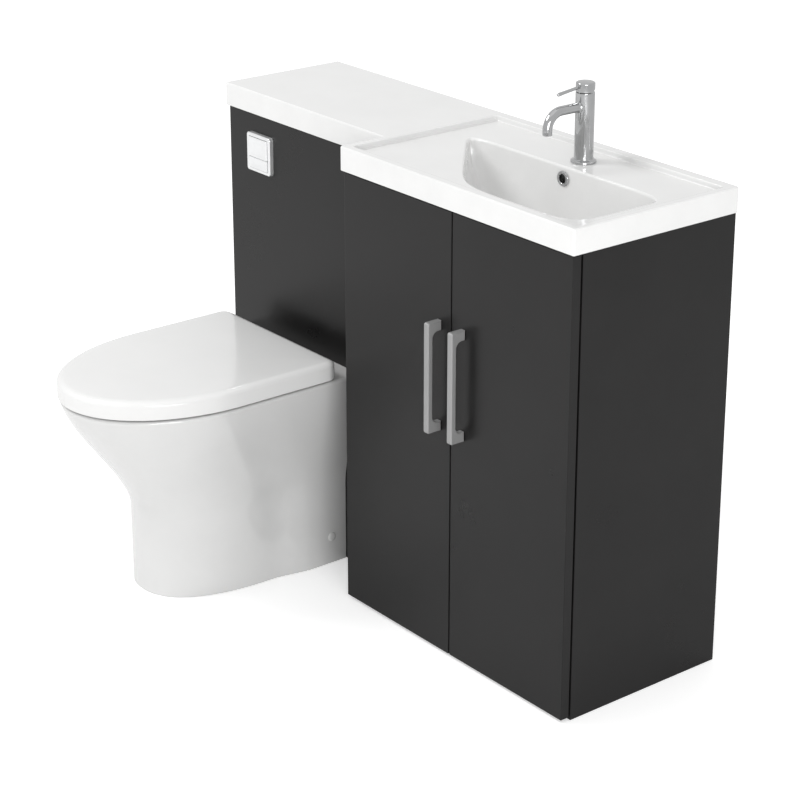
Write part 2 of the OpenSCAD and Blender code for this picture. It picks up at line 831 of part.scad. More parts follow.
// Rubber cone that seals the flush pipe into the pan
module flush_cone() {
    color("#303030") difference() {
        union() {
            rod_y([pan_x, panel_y - 56, flush_z], 27.8, 44);
            rod_y([pan_x, panel_y - 12, flush_z], 33, 6);
        }
        rod_y([pan_x, panel_y - 50, flush_z], 19.9, 60);
        rod_y([pan_x, panel_y - 60, flush_z], 16, 20);
    }
}

// Connector from the pan's outlet to the soil pipe in the wall
module soil_connector() {
    color("whitesmoke") difference() {
        union() {
            rod_y([pan_x, panel_y - 60, soil_z], 63, 54);
            rod_y([pan_x, panel_y - 10, soil_z], 55, wall_y - panel_y + 10);
        }
        rod_y([pan_x, panel_y - 61, soil_z], 51.2, 52);
        rod_y([pan_x, panel_y - 20, soil_z], 50, wall_y - panel_y + 30);
    }
}

// ---- Toilet pan ----

// How far the pan has flared from its foot to its rim
function flare(z) = z <= flare_z ? 0 :
    let(t = (z - flare_z) / (pan_h - flare_z)) (t + t * t * (3 - 2 * t)) / 2;

// One level of a D shape: rounded front, sides that spread a little, and a square back
function d_ring(half_w, spread, front, straight, back, n, z) =
    let(wide = half_w + spread, turn = straight + 90)
    concat(
        [for (i = [0:pan_steps]) let(a = 180 + 180 * i / pan_steps)
            [pan_x + half_w * power(cos(a), n), straight + (straight - front) * power(sin(a), n),
                z]],
        [[pan_x + wide, turn, z], [pan_x + wide, back, z],
         [pan_x - wide, back, z], [pan_x - wide, turn, z]]);

function pan_ring(z, inset, back) =
    let(s = flare(z))
    d_ring(mix(foot_half_w, rim_half_w, s) - inset, foot_spread * (1 - s),
        mix(foot_front, rim_front, s) + inset, mix(foot_straight, rim_straight, s), back,
        mix(2.3, 2, s), z);

module pan_outside() {
    loft(concat([for (z = pan_levels) pan_ring(z, 0, panel_y)],
        [pan_ring(pan_h - 6, 0, panel_y), pan_ring(pan_h, 6, panel_y)]));
}

module pan_inside() {
    top = pan_h - deck_t;
    loft(concat([[for (p = pan_ring(0, pan_wall, panel_y + 1)) [p[0], p[1], -1]]],
        [for (z = pan_levels) if (z > 0) pan_ring(z, pan_wall, panel_y + 1)],
        [pan_ring(top, pan_wall, panel_y + 1)]));
}

// The bowl's rings follow the pan's flare: a narrow sump below, a wide oval at the rim
function pan_bowl_ring(k, grow) =
    let(u = k / pan_bowl_levels, s = u * u * (3 - 2 * u))
    oval([pan_x, mix(sump_y, pan_bowl_y, s)], mix(sump_r, 118, pow(s, 0.7)) + grow,
        mix(sump_r, 150, s) + grow, mix(sump_r, 140, s) + grow, 2.2, 2.2,
        mix(sump_z, pan_h, u) + (k == 0 ? 10 : 0));

module pan_bowl(grow, top) {
    rings = [for (k = [0:pan_bowl_levels]) pan_bowl_ring(k, grow)];
    loft(concat([[for (p = pan_bowl_ring(0, grow - 9)) [p[0], p[1], sump_z - grow]]], rings,
        [[for (p = rings[pan_bowl_levels]) [p[0], p[1], top]]]));
}

// The trap's passage: back from the sump, up over the weir, and out at the back
module trapway(grow) {
    low = sump_z + 28;
    r = 28 + grow;
    rod_y([pan_x, sump_y, low], r, trap_y - sump_y);
    translate([pan_x, trap_y, low]) sphere(r);
    rod_z([pan_x, trap_y, low], r, 200 - low);
    translate([pan_x, trap_y, 200]) sphere(r);
    rod_y([pan_x, trap_y, 200], 24 + grow, 56);
}

module wc_pan() {
    color("white") difference() {
        pan_outside();
        difference() {
            pan_inside();
            pan_bowl(10, pan_h - deck_t + 6);
            trapway(9);
            rod_y([pan_x, panel_y - 90, soil_z], 51, 80);
            rod_y([pan_x, panel_y - 78, flush_z], 36, 66);
            rod_y([pan_x, -80, flush_z], 27, 140);
        }
        pan_bowl(0, pan_h + 1);
        trapway(0);
        rod_y([pan_x, panel_y - 82, soil_z], 43, 100);
        rod_y([pan_x, panel_y - 58, flush_z], 28, 60);
        rod_y([pan_x, -90, flush_z], 18, 180);
        for (s = [-1, 1]) {
            rod_z([pan_x + s * post_x, pivot_seat[0], pan_h - 30], 7, 40);
            rod_x([pan_x + s * (wall_half_w - 6) - 10, bracket_y, bracket_z], 5, 20);
        }
    }
}

bracket_y = panel_y - 34;
bracket_z = 56;

// Angle brackets on the floor inside the pan's foot
module pan_brackets() {
    inner = wall_half_w - pan_wall - 0.5;
    color("silver") both_sides(pan_x) difference() {
        union() {
            block([inner - 3, bracket_y - 20, 0], [inner, bracket_y + 20, 75]);
            block([inner - 45, bracket_y - 20, 0], [inner, bracket_y + 20, 3]);
        }
        rod_x([inner - 5, bracket_y, bracket_z], 2.6, 10);
        rod_z([inner - 28, bracket_y, -1], 3.5, 6);
    }
}

module pan_screws() {
    color("gray") both_sides(pan_x) {
        rod_x([wall_half_w - 34, bracket_y, bracket_z], 2.5, 33);
        rod_x([wall_half_w - 4, bracket_y, bracket_z], 4.5, 3);
    }
}

module pan_caps() {
    color("white") both_sides(pan_x) {
        rod_x([wall_half_w, bracket_y, bracket_z], 9, 3);
    }
}

// ---- Seat and lid ----

// Posts on the pan's deck that carry the hinge pins
module seat_posts() {
    p = pivot_seat;
    color("silver") both_sides(pan_x) translate([post_x, 0, 0]) difference() {
        union() {
            rod_z([0, p[0], pan_h], 12, 3);
            block([-7, p[0] - 7, pan_h + 2], [7, p[0] + 7, p[1]]);
            rod_x([-7, p[0], p[1]], 9, 14);
            rod_z([0, p[0], pan_h - 40], 4, 42);
            rod_z([0, p[0], pan_h - deck_t - 6], 12, 6);
        }
        rod_x([-8, p[0], p[1]], 4.05, 16);
    }
}

module seat_pins() {
    color("silver") both_sides(pan_x)
        rod_x([post_x - 28, pivot_seat[0], pivot_seat[1]], 4, 56);
}

function seat_shape(half_w, front, back) =
    let(r = 22)
    concat(
        [for (i = [0:pan_steps]) let(a = 180 + 180 * i / pan_steps)
            [pan_x + half_w * power(cos(a), 2), rim_straight
                + (rim_straight - front) * power(sin(a), 2)]],
        arc([pan_x + half_w - r, back - r], r, 0, 90),
        arc([pan_x - half_w + r, back - r], r, 90, 180));

// Seat ring with its two knuckles and four pads
module seat() {
    p = pivot_seat;
    hole = oval([pan_x, pan_bowl_y], 104, 138, 112, 2.1, 2.1, 0);
    color("white") difference() {
        union() {
            translate([0, 0, seat_z]) linear_extrude(seat_t) difference() {
                polygon(seat_shape(rim_half_w - 11, rim_front + 12, seat_back));
                polygon([for (q = hole) [q[0], q[1]]]);
            }
            both_sides(pan_x) {
                rod_x([post_x - 27, p[0], p[1]], 8, 18);
                block([post_x - 27, seat_back - 6, seat_z + 4],
                    [post_x - 9, p[0], seat_z + seat_t]);
                for (q = [[140, -40], [118, -290]]) rod_z([q[0], q[1], pan_h + 0.3], 9, 6);
            }
        }
        both_sides(pan_x) rod_x([post_x - 30, p[0], p[1]], 4.05, 30);
    }
}

function lid_ring(z, inset) =
    [for (q = seat_shape(lid_half_w - inset, panel_y - pan_reach + inset, lid_back - inset))
        [q[0], q[1], z]];

// Cover that wraps down over the seat
module lid() {
    p = pivot_seat;
    color("white") difference() {
        union() {
            difference() {
                loft([lid_ring(lid_low, 2), lid_ring(lid_low + 3, 0), lid_ring(lid_top - 10, 0),
                    lid_ring(lid_top - 5, 2), lid_ring(lid_top - 2, 6), lid_ring(lid_top, 16)]);
                loft([lid_ring(lid_low - 1, 5), lid_ring(lid_top - 8, 5),
                    lid_ring(lid_top - 6, 9)]);
                block([pan_x - 112, p[0] - 20, lid_low - 2], [pan_x + 112, lid_back + 2,
                    lid_top - 6]);
            }
            both_sides(pan_x) {
                rod_x([post_x + 9, p[0], p[1]], 8, 18);
                block([post_x + 9, p[0] - 6, p[1]], [post_x + 27, p[0] + 6, lid_top - 5]);
                rod_z([110, -300, seat_z + seat_t + 0.3], 7, 15);
            }
        }
        both_sides(pan_x) rod_x([post_x + 6, p[0], p[1]], 4.05, 30);
    }
}

basin_top();
overflow_ring();
overflow_pipe();
waste_body();
trap_body();
trap_cup();
trap_outlet();
tap_body();
tap_cartridge();
tap_aerator();
tap_tails();
plumbing_nuts();
basin_side_left();
basin_side_right();
basin_floor();
basin_rail_top();
basin_rail_low();
basin_shelf();
shelf_pins();
hinge_arms();
hinge_plates();
door_buffers();
dowels();
wc_side_left();
wc_side_right();
wc_panel();
wc_rails();
flush_bezel();
flush_housing();
air_tubes();
cistern_tank();
cistern_lid();
flush_valve_body();
fill_valve();
flush_pipe();
flush_cone();
soil_connector();
wc_pan();
seat_posts();
seat_pins();
pan_brackets();
pan_screws();
pan_caps();
left_door();
right_door();
left_handle();
right_handle();
left_hinge_cups();
right_hinge_cups();
left_door_screws();
right_door_screws();
waste_plug();
tap_stem();
tap_lever();
full_button();
half_button();
flush_valve_lift();
fill_float();
seat();
lid();
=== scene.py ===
# %% [markdown]
# # A toilet and basin combination unit
# One object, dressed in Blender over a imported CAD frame. The frame holds the joints, the
# sizes and the hidden fittings. This file adds what the eye notices first: rounded edges,
# a moulded bowl, a glazed pan, real chrome, and finishes with grain, gloss and small flaws.
# Lengths are written in millimetres and turned into metres as each mesh is finished.

# %%
import json
from math import cos, sin, pi, radians, sqrt, copysign
import bmesh
import bpy
from mathutils import Matrix, Vector


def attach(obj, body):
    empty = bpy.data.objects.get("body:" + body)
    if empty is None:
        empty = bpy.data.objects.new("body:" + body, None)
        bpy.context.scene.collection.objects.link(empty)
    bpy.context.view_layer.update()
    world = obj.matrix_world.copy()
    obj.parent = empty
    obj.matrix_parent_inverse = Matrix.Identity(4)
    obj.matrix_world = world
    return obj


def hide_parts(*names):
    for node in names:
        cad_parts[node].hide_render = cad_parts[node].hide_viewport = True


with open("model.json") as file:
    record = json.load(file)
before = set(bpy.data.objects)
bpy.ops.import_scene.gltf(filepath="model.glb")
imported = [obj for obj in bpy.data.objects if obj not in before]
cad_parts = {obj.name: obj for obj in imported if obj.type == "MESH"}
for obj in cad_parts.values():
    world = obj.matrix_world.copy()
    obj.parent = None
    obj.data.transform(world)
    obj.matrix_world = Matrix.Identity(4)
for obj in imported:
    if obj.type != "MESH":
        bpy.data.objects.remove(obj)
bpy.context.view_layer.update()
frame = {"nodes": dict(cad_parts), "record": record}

MM = 0.001
scene = bpy.context.scene
slot_of = {s["node"]: s["material_slot"] for s in frame["record"]["subparts"]}

# %% [markdown]
# ## Camera
# The photograph looks down a little from the right, through a long lens that was shifted to
# keep the uprights nearly parallel. The yaw, pitch and focal length come from fitting the
# cabinet's corners. Only a small shift is kept, because other views share it.

# %%
camera = bpy.data.objects.new("camera", bpy.data.cameras.new("camera"))
scene.collection.objects.link(camera)
SENSOR, FITTED_PIXELS, PHOTO_PIXELS = 36, 2280.4, 800
camera.data.sensor_width = SENSOR
camera.data.lens = FITTED_PIXELS / PHOTO_PIXELS * SENSOR
camera.data.shift_y = -0.12
camera.location = (3.0439, -2.2955, 1.9873)
camera.rotation_euler = (radians(90 - 19.87), 0, radians(51.6))
camera.data.clip_end = 60
scene.camera = camera
print("lens mm:", round(camera.data.lens, 1))

# %% [markdown]
# ## Studio
# A pale floor under an even white sky gives the photograph's bright, nearly shadowless look.
# Three soft panels shape it: the main one high at the front left, which throws the tap's
# shadow back to the right, a weak one overhead, and a low one that lifts the right side. The
# camera sees the sky at full white, while the object is lit by a dimmer one, so the white
# ware keeps its shading against a pure white background.

# %%
scene.view_settings.view_transform = "Standard"
world = bpy.data.worlds.new("studio")
scene.world = world
world.use_nodes = True
sky = world.node_tree.nodes["Background"]
sky.inputs["Color"].default_value = (1.0, 1.0, 1.0, 1.0)


def camera_sees_more(tree, others, camera_rays, socket):
    """Gives a strength one value for the camera's own rays and another for all others."""
    rays = tree.nodes.new("ShaderNodeLightPath")
    strength = tree.nodes.new("ShaderNodeMapRange")
    strength.inputs["To Min"].default_value = others
    strength.inputs["To Max"].default_value = camera_rays
    tree.links.new(rays.outputs["Is Camera Ray"], strength.inputs["Value"])
    tree.links.new(strength.outputs["Result"], socket)


def soft_light(name, at, towards, size, power):
    """A square area light at one point, turned towards another."""
    data = bpy.data.lights.new(name, "AREA")
    data.size = size
    data.energy = power
    ob = bpy.data.objects.new(name, data)
    ob.location = at
    ob.rotation_euler = (Vector(towards) - Vector(at)).to_track_quat("-Z", "Y").to_euler()
    scene.collection.objects.link(ob)


camera_sees_more(world.node_tree, 0.79, 1.02, sky.inputs["Strength"])
soft_light("key", (-2.1, -2.1, 3.7), (0.1, 0.1, 0.7), 1.4, 66)
soft_light("overhead", (0.2, -0.2, 3.4), (0.0, 0.0, 0.4), 2.6, 5)
soft_light("right_fill", (3.4, -1.7, 1.3), (0.0, 0.0, 0.45), 1.8, 58)

# %% [markdown]
# ## Mesh tools
# Most pieces are grown from rings: a closed loop of edges at one height, joined to the next
# by bridging. Flat faces with holes in them come from a planar fill, turned pieces from
# a spin, and holes that cross a finished skin from a boolean.

# %%
CREASE = 34


def quarter(steps, first=0):
    """Angles in equal steps over a quarter turn, in radians."""
    return [radians(90 * k / steps) for k in range(first, steps + 1)]


def arc(cx, cy, r, start, end, steps=6):
    """Points of a circular arc, in degrees."""
    return [(cx + r * cos(radians(start + (end - start) * i / steps)),
             cy + r * sin(radians(start + (end - start) * i / steps))) for i in range(steps + 1)]


def round_box(x0, y0, x1, y1, r):
    """A rectangle with round corners, anticlockwise."""
    return (arc(x1 - r, y0 + r, r, -90, 0) + arc(x1 - r, y1 - r, r, 0, 90)
            + arc(x0 + r, y1 - r, r, 90, 180) + arc(x0 + r, y0 + r, r, 180, 270))


def power(v, n):
    """A signed power, which squares off an ellipse when n is over 2."""
    return copysign(abs(v) ** (2 / n), v)


def mix(a, b, t):
    """The value a part t of the way from a to b."""
    return a + (b - a) * t


def loop(bm, points):
    """A closed loop of edges through the points."""
    verts = [bm.verts.new(p) for p in points]
    return [bm.edges.new((a, b)) for a, b in zip(verts, verts[1:] + verts[:1])]


def loft(bm, rings):
    """Joins loops in turn and returns the first and the last one's edges."""
    made = [loop(bm, r) for r in rings]
    for a, b in zip(made, made[1:]):
        bmesh.ops.bridge_loops(bm, edges=a + b)
    return made[0], made[-1]


def cap(bm, *loops):
    """A flat face between an outer loop and any loops inside it."""
    edges = [e for one in loops for e in one]
    bmesh.ops.triangle_fill(bm, use_beauty=True, edges=edges)


def level(points, z):
    """Flat points, set at one height."""
    return [(p[0], p[1], z) for p in points]


def even_normals(ob):
    """Lets the broad faces decide the shading, so that a small round stays crisp."""
    even = ob.modifiers.new("even_normals", "WEIGHTED_NORMAL")
    even.keep_sharp = True
    even.weight = 100


def made(name, bm, finish, angle=CREASE, weighted=True):
    """Turns a bmesh in millimetres into an object with smooth shading and sharp creases."""
    bmesh.ops.recalc_face_normals(bm, faces=bm.faces)
    bmesh.ops.scale(bm, vec=(MM, MM, MM), verts=bm.verts)
    data = bpy.data.meshes.new(name)
    bm.to_mesh(data)
    bm.free()
    data.shade_smooth()
    data.set_sharp_from_angle(angle=radians(angle))
    data.materials.append(finish)
    ob = bpy.data.objects.new(name, data)
    scene.collection.objects.link(ob)
    if weighted:
        even_normals(ob)
    return ob


def cut(ob, *tools, operation="DIFFERENCE", angle=CREASE):
    """Cuts the tools out of a piece, or adds them to it, and then removes the tools."""
    ob.modifiers.clear()
    for tool in tools:
        m = ob.modifiers.new("cut", "BOOLEAN")
        m.object = tool
        m.operation = operation
        m.solver = "EXACT"
    graph = bpy.context.evaluated_depsgraph_get()
    baked = bpy.data.meshes.new_from_object(ob.evaluated_get(graph))
    ob.modifiers.clear()
    baked.name = ob.name
    ob.data = baked
    baked.shade_smooth()
    baked.set_sharp_from_angle(angle=radians(angle))
    for tool in tools:
        bpy.data.objects.remove(tool)
    even_normals(ob)


def rod(name, start, end, r, finish, steps=48):
    """A plain round bar between two points, used to cut holes and inside larger pieces."""
    bm = bmesh.new()
    a, b = Vector(start), Vector(end)
    turn = (b - a).to_track_quat("Z", "Y").to_matrix().to_4x4()
    bmesh.ops.create_cone(bm, cap_ends=True, segments=steps, radius1=r, radius2=r,
                          depth=(b - a).length, matrix=Matrix.Translation((a + b) / 2) @ turn)
    return made(name, bm, finish, weighted=False)


def block(name, lo, hi, finish, edge=0.0, segments=2):
    """A box between two corners with its edges rounded over."""
    bm = bmesh.new()
    centre = [(a + b) / 2 for a, b in zip(lo, hi)]
    size = [b - a for a, b in zip(lo, hi)]
    bmesh.ops.create_cube(bm, size=1, matrix=Matrix.Translation(centre)
                          @ Matrix.Diagonal((*size, 1)))
    if edge:
        bmesh.ops.bevel(bm, geom=bm.edges[:], offset=edge, offset_type="OFFSET", affect="EDGES",
                        segments=segments, profile=0.5, material=-1)
    return made(name, bm, finish)


def turned(name, profile, at, finish, axis="Z", steps=64, closed=False):
    """A lathe piece: (radius, height) points spun round an axis through a point."""
    bm = bmesh.new()
    verts = [bm.verts.new((r, 0, h)) for r, h in profile]
    pairs = list(zip(verts, verts[1:])) + ([(verts[-1], verts[0])] if closed else [])
    edges = [bm.edges.new(p) for p in pairs]
    bmesh.ops.spin(bm, geom=verts + edges, cent=(0, 0, 0), axis=(0, 0, 1), angle=2 * pi,
                   steps=steps, use_merge=True)
    bmesh.ops.remove_doubles(bm, verts=bm.verts, dist=0.001)
    turn = {"Z": Matrix.Identity(4), "Y": Matrix.Rotation(radians(-90), 4, "X"),
            "X": Matrix.Rotation(radians(90), 4, "Y"),
            "-X": Matrix.Rotation(radians(-90), 4, "Y")}[axis]
    bmesh.ops.transform(bm, matrix=Matrix.Translation(at) @ turn, verts=bm.verts)
    return made(name, bm, finish)


def tube(name, path, radii, finish, steps=32):
    """A round bar swept along a path, with its own radius at each point."""
    bm = bmesh.new()
    points = [Vector(p) for p in path]
    tangents = []
    for i in range(len(points)):
        a, b = points[max(i - 1, 0)], points[min(i + 1, len(points) - 1)]
        tangents.append((b - a).normalized())
    side = tangents[0].orthogonal().normalized()
    rings = []
    for p, t, r in zip(points, tangents, radii):
        side = (side - t * side.dot(t)).normalized()
        other = t.cross(side)
        rings.append([p + (side * cos(2 * pi * k / steps) + other * sin(2 * pi * k / steps)) * r
                      for k in range(steps)])
    for end in loft(bm, rings):
        cap(bm, end)
    return made(name, bm, finish)


def join(name, *parts):
    """One object from several closed shells."""
    base = parts[0]
    bm = bmesh.new()
    for p in parts:
        bm.from_mesh(p.data)
    data = bpy.data.meshes.new(name)
    bm.to_mesh(data)
    bm.free()
    data.materials.append(base.data.materials[0])
    data.shade_smooth()
    data.set_sharp_from_angle(angle=radians(CREASE))
    base.data = data
    base.name = name
    for p in parts[1:]:
        bpy.data.objects.remove(p)
    return base


def stands_for(ob, body, *nodes):
    """The piece rides on a body and replaces CAD nodes, which it hides."""
    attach(ob, body)
    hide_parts(*nodes)
    size = [round(v / MM) for v in ob.dimensions]
    print(ob.name, "stands for", ", ".join(nodes), "size mm", size)


# %% [markdown]
# ## Finishes
# Every finish is procedural and lives in object coordinates, so it holds still when a door
# swings. Three shared effects do most of the work: a fine bump for moulded, glazed or
# laminated skins, a slow mottling of the colour, and a long grain for brushed metal and wood.


# %%
def group(name, sockets):
    """An empty node group with the given inputs and outputs."""
    tree = bpy.data.node_groups.new(name, "ShaderNodeTree")
    for label, kind, way in sockets:
        tree.interface.new_socket(name=label, socket_type=kind, in_out=way)
    return tree, tree.nodes.new("NodeGroupInput"), tree.nodes.new("NodeGroupOutput")


def skin_group():
    """Two sizes of noise pushed into one bump."""
    tree, inp, out = group("fine_skin", [
        ("Scale", "NodeSocketFloat", "INPUT"), ("Depth", "NodeSocketFloat", "INPUT"),
        ("Normal", "NodeSocketVector", "OUTPUT")])
    place = tree.nodes.new("ShaderNodeTexCoord")
    fine = tree.nodes.new("ShaderNodeTexNoise")
    broad = tree.nodes.new("ShaderNodeTexNoise")
    broad.inputs["Scale"].default_value = 9
    add = tree.nodes.new("ShaderNodeMath")
    add.operation = "MULTIPLY_ADD"
    add.inputs[1].default_value = 1.6
    bump = tree.nodes.new("ShaderNodeBump")
    bump.inputs["Strength"].default_value = 1.0
    tree.links.new(place.outputs["Object"], fine.inputs["Vector"])
    tree.links.new(place.outputs["Object"], broad.inputs["Vector"])
    tree.links.new(inp.outputs["Scale"], fine.inputs["Scale"])
    tree.links.new(broad.outputs["Fac"], add.inputs[0])
    tree.links.new(fine.outputs["Fac"], add.inputs[2])
    tree.links.new(add.outputs[0], bump.inputs["Height"])
    tree.links.new(inp.outputs["Depth"], bump.inputs["Distance"])
    tree.links.new(bump.outputs["Normal"], out.inputs["Normal"])
    return tree


def mottle_group():
    """Drifts between two colours, slowly and then finely."""
    tree, inp, out = group("mottle", [
        ("One", "NodeSocketColor", "INPUT"), ("Other", "NodeSocketColor", "INPUT"),
        ("Scale", "NodeSocketFloat", "INPUT"), ("Color", "NodeSocketColor", "OUTPUT"),
        ("Amount", "NodeSocketFloat", "OUTPUT")])
    place = tree.nodes.new("ShaderNodeTexCoord")
    noise = tree.nodes.new("ShaderNodeTexNoise")
    noise.inputs["Detail"].default_value = 6
    noise.inputs["Roughness"].default_value = 0.62
    ramp = tree.nodes.new("ShaderNodeMapRange")
    ramp.inputs["From Min"].default_value = 0.32
    ramp.inputs["From Max"].default_value = 0.68
    blend = tree.nodes.new("ShaderNodeMix")
    blend.data_type = "RGBA"
    tree.links.new(place.outputs["Object"], noise.inputs["Vector"])
    tree.links.new(inp.outputs["Scale"], noise.inputs["Scale"])
    tree.links.new(noise.outputs["Fac"], ramp.inputs["Value"])
    tree.links.new(ramp.outputs["Result"], blend.inputs["Factor"])
    tree.links.new(inp.outputs["One"], blend.inputs["A"])
    tree.links.new(inp.outputs["Other"], blend.inputs["B"])
    tree.links.new(blend.outputs["Result"], out.inputs["Color"])
    tree.links.new(ramp.outputs["Result"], out.inputs["Amount"])
    return tree


def grain_group():
    """Long thin noise along one axis, for brushed metal and for wood."""
    tree, inp, out = group("grain", [
        ("Stretch", "NodeSocketVector", "INPUT"), ("Depth", "NodeSocketFloat", "INPUT"),
        ("Amount", "NodeSocketFloat", "OUTPUT"), ("Normal", "NodeSocketVector", "OUTPUT")])
    place = tree.nodes.new("ShaderNodeTexCoord")
    scale = tree.nodes.new("ShaderNodeMapping")
    noise = tree.nodes.new("ShaderNodeTexNoise")
    noise.inputs["Scale"].default_value = 1.0
    noise.inputs["Detail"].default_value = 5
    bump = tree.nodes.new("ShaderNodeBump")
    tree.links.new(place.outputs["Object"], scale.inputs["Vector"])
    tree.links.new(inp.outputs["Stretch"], scale.inputs["Scale"])
    tree.links.new(scale.outputs["Vector"], noise.inputs["Vector"])
    tree.links.new(noise.outputs["Fac"], bump.inputs["Height"])
    tree.links.new(inp.outputs["Depth"], bump.inputs["Distance"])
    tree.links.new(noise.outputs["Fac"], out.inputs["Amount"])
    tree.links.new(bump.outputs["Normal"], out.inputs["Normal"])
    return tree


SKIN, MOTTLE, GRAIN = skin_group(), mottle_group(), grain_group()
print("shared effects:", [t.name for t in (SKIN, MOTTLE, GRAIN)])

# %% [markdown]
# A finish is then a short recipe. Colour drifts between two near tones. Roughness drifts
# between two values, as polished skins do where hands and cloths have passed. The bump is
# a few thousandths of a millimetre deep on a polished skin, just enough to break up a
# reflection, and some hundredths on rubber and wood.


# %%
def blank(name, metal, fixed):
    """A new material, its nodes and its shader, with the inputs that don't vary."""
    mat = bpy.data.materials.new(name)
    mat.use_nodes = True
    shader = mat.node_tree.nodes["Principled BSDF"]
    shader.inputs["Metallic"].default_value = metal
    for key, value in fixed.items():
        shader.inputs[key.replace("_", " ")].default_value = value
    return mat, mat.node_tree, shader


def finish(name, one, other, rough, spread=3.0, skin=(300, 0.000004), metal=0.0, **fixed):
    """A smooth skin: two colours, a range of roughness and a bump of (scale, depth)."""
    mat, tree, shader = blank(name, metal, fixed)
    colour = tree.nodes.new("ShaderNodeGroup")
    colour.node_tree = MOTTLE
    colour.inputs["One"].default_value = (*one, 1)
    colour.inputs["Other"].default_value = (*other, 1)
    colour.inputs["Scale"].default_value = spread
    tree.links.new(colour.outputs["Color"], shader.inputs["Base Color"])
    polish = tree.nodes.new("ShaderNodeMapRange")
    polish.inputs["To Min"].default_value = rough[0]
    polish.inputs["To Max"].default_value = rough[1]
    tree.links.new(colour.outputs["Amount"], polish.inputs["Value"])
    tree.links.new(polish.outputs["Result"], shader.inputs["Roughness"])
    bump = tree.nodes.new("ShaderNodeGroup")
    bump.node_tree = SKIN
    bump.inputs["Scale"].default_value = skin[0]
    bump.inputs["Depth"].default_value = skin[1]
    tree.links.new(bump.outputs["Normal"], shader.inputs["Normal"])
    return mat


def grained(name, one, other, rough, stretch, depth, metal=0.0, **fixed):
    """A skin with long grain along one axis: brushed metal, or wood."""
    mat, tree, shader = blank(name, metal, fixed)
    lines = tree.nodes.new("ShaderNodeGroup")
    lines.node_tree = GRAIN
    lines.inputs["Stretch"].default_value = stretch
    lines.inputs["Depth"].default_value = depth
    colour = tree.nodes.new("ShaderNodeMix")
    colour.data_type = "RGBA"
    colour.inputs["A"].default_value = (*one, 1)
    colour.inputs["B"].default_value = (*other, 1)
    polish = tree.nodes.new("ShaderNodeMapRange")
    polish.inputs["From Min"].default_value = 0.3
    polish.inputs["From Max"].default_value = 0.7
    polish.inputs["To Min"].default_value = rough[0]
    polish.inputs["To Max"].default_value = rough[1]
    tree.links.new(lines.outputs["Amount"], colour.inputs["Factor"])
    tree.links.new(lines.outputs["Amount"], polish.inputs["Value"])
    tree.links.new(colour.outputs["Result"], shader.inputs["Base Color"])
    tree.links.new(polish.outputs["Result"], shader.inputs["Roughness"])
    tree.links.new(lines.outputs["Normal"], shader.inputs["Normal"])
    return mat


FINISHES = {
    "top_stone": finish("top_stone", (0.77, 0.77, 0.765), (0.74, 0.74, 0.735), (0.14, 0.22), 14,
                        (500, 0.000003), Coat_Weight=0.5, Coat_Roughness=0.06),
    "board_face": finish("board_face", (0.0075, 0.0072, 0.0072), (0.0105, 0.01, 0.01),
                         (0.27, 0.34), 5, (900, 0.000003), Specular_IOR_Level=0.27),
    "board_core": finish("board_core", (0.016, 0.016, 0.017), (0.022, 0.022, 0.023), (0.4, 0.5),
                         8, (700, 0.000006)),
    "ceramic": finish("ceramic", (0.7, 0.7, 0.695), (0.67, 0.67, 0.665), (0.07, 0.12), 6,
                      (60, 0.000012), Coat_Weight=1.0, Coat_Roughness=0.03),
    "seat_plastic": finish("seat_plastic", (0.79, 0.79, 0.785), (0.77, 0.77, 0.765), (0.15, 0.2),
                           7, (700, 0.000002), Coat_Weight=0.3),
    "chrome": finish("chrome", (0.5, 0.505, 0.51), (0.455, 0.46, 0.465), (0.05, 0.12), 40,
                     (80, 0.000006), metal=1.0),
    "satin_metal": grained("satin_metal", (0.36, 0.36, 0.36), (0.3, 0.3, 0.3), (0.42, 0.54),
                           (2600, 2600, 40), 0.000006, metal=0.35),
    "steel": grained("steel", (0.62, 0.61, 0.59), (0.5, 0.5, 0.49), (0.25, 0.4),
                     (900, 900, 120), 0.00001, metal=1.0),
    "brass": finish("brass", (0.72, 0.5, 0.22), (0.6, 0.4, 0.18), (0.18, 0.34), 60,
                    (900, 0.000002), metal=1.0),
    "copper": finish("copper", (0.78, 0.36, 0.22), (0.6, 0.26, 0.16), (0.2, 0.36), 30,
                     (400, 0.000003), metal=1.0),
    "white_plastic": finish("white_plastic", (0.8, 0.8, 0.78), (0.76, 0.76, 0.74), (0.3, 0.42),
                            12, (1200, 0.00001)),
    "pale_plastic": finish("pale_plastic", (0.86, 0.865, 0.87), (0.82, 0.825, 0.83),
                           (0.12, 0.2), 30, (900, 0.000003), metal=0.65),
    "clear_plastic": finish("clear_plastic", (0.6, 0.7, 0.78), (0.52, 0.63, 0.72), (0.25, 0.4),
                            20, (800, 0.00001), Transmission_Weight=0.35),
    "red_plastic": finish("red_plastic", (0.6, 0.09, 0.05), (0.5, 0.07, 0.04), (0.35, 0.5), 20,
                          (1200, 0.00001)),
    "dark_rubber": finish("dark_rubber", (0.02, 0.02, 0.02), (0.03, 0.03, 0.03), (0.6, 0.8), 30,
                          (1500, 0.00004)),
    "beech": grained("beech", (0.62, 0.42, 0.24), (0.48, 0.3, 0.15), (0.5, 0.65),
                     (60, 900, 900), 0.00005),
}
STONE, FACE, WHITE, PLASTIC, PALE, CHROME, SATIN, BRASS = (FINISHES[k] for k in (
    "top_stone", "board_face", "ceramic", "seat_plastic", "pale_plastic", "chrome",
    "satin_metal", "brass"))
for node, ob in frame["nodes"].items():
    ob.data.materials.clear()
    ob.data.materials.append(FINISHES[slot_of[node]])
print("finishes:", len(FINISHES))

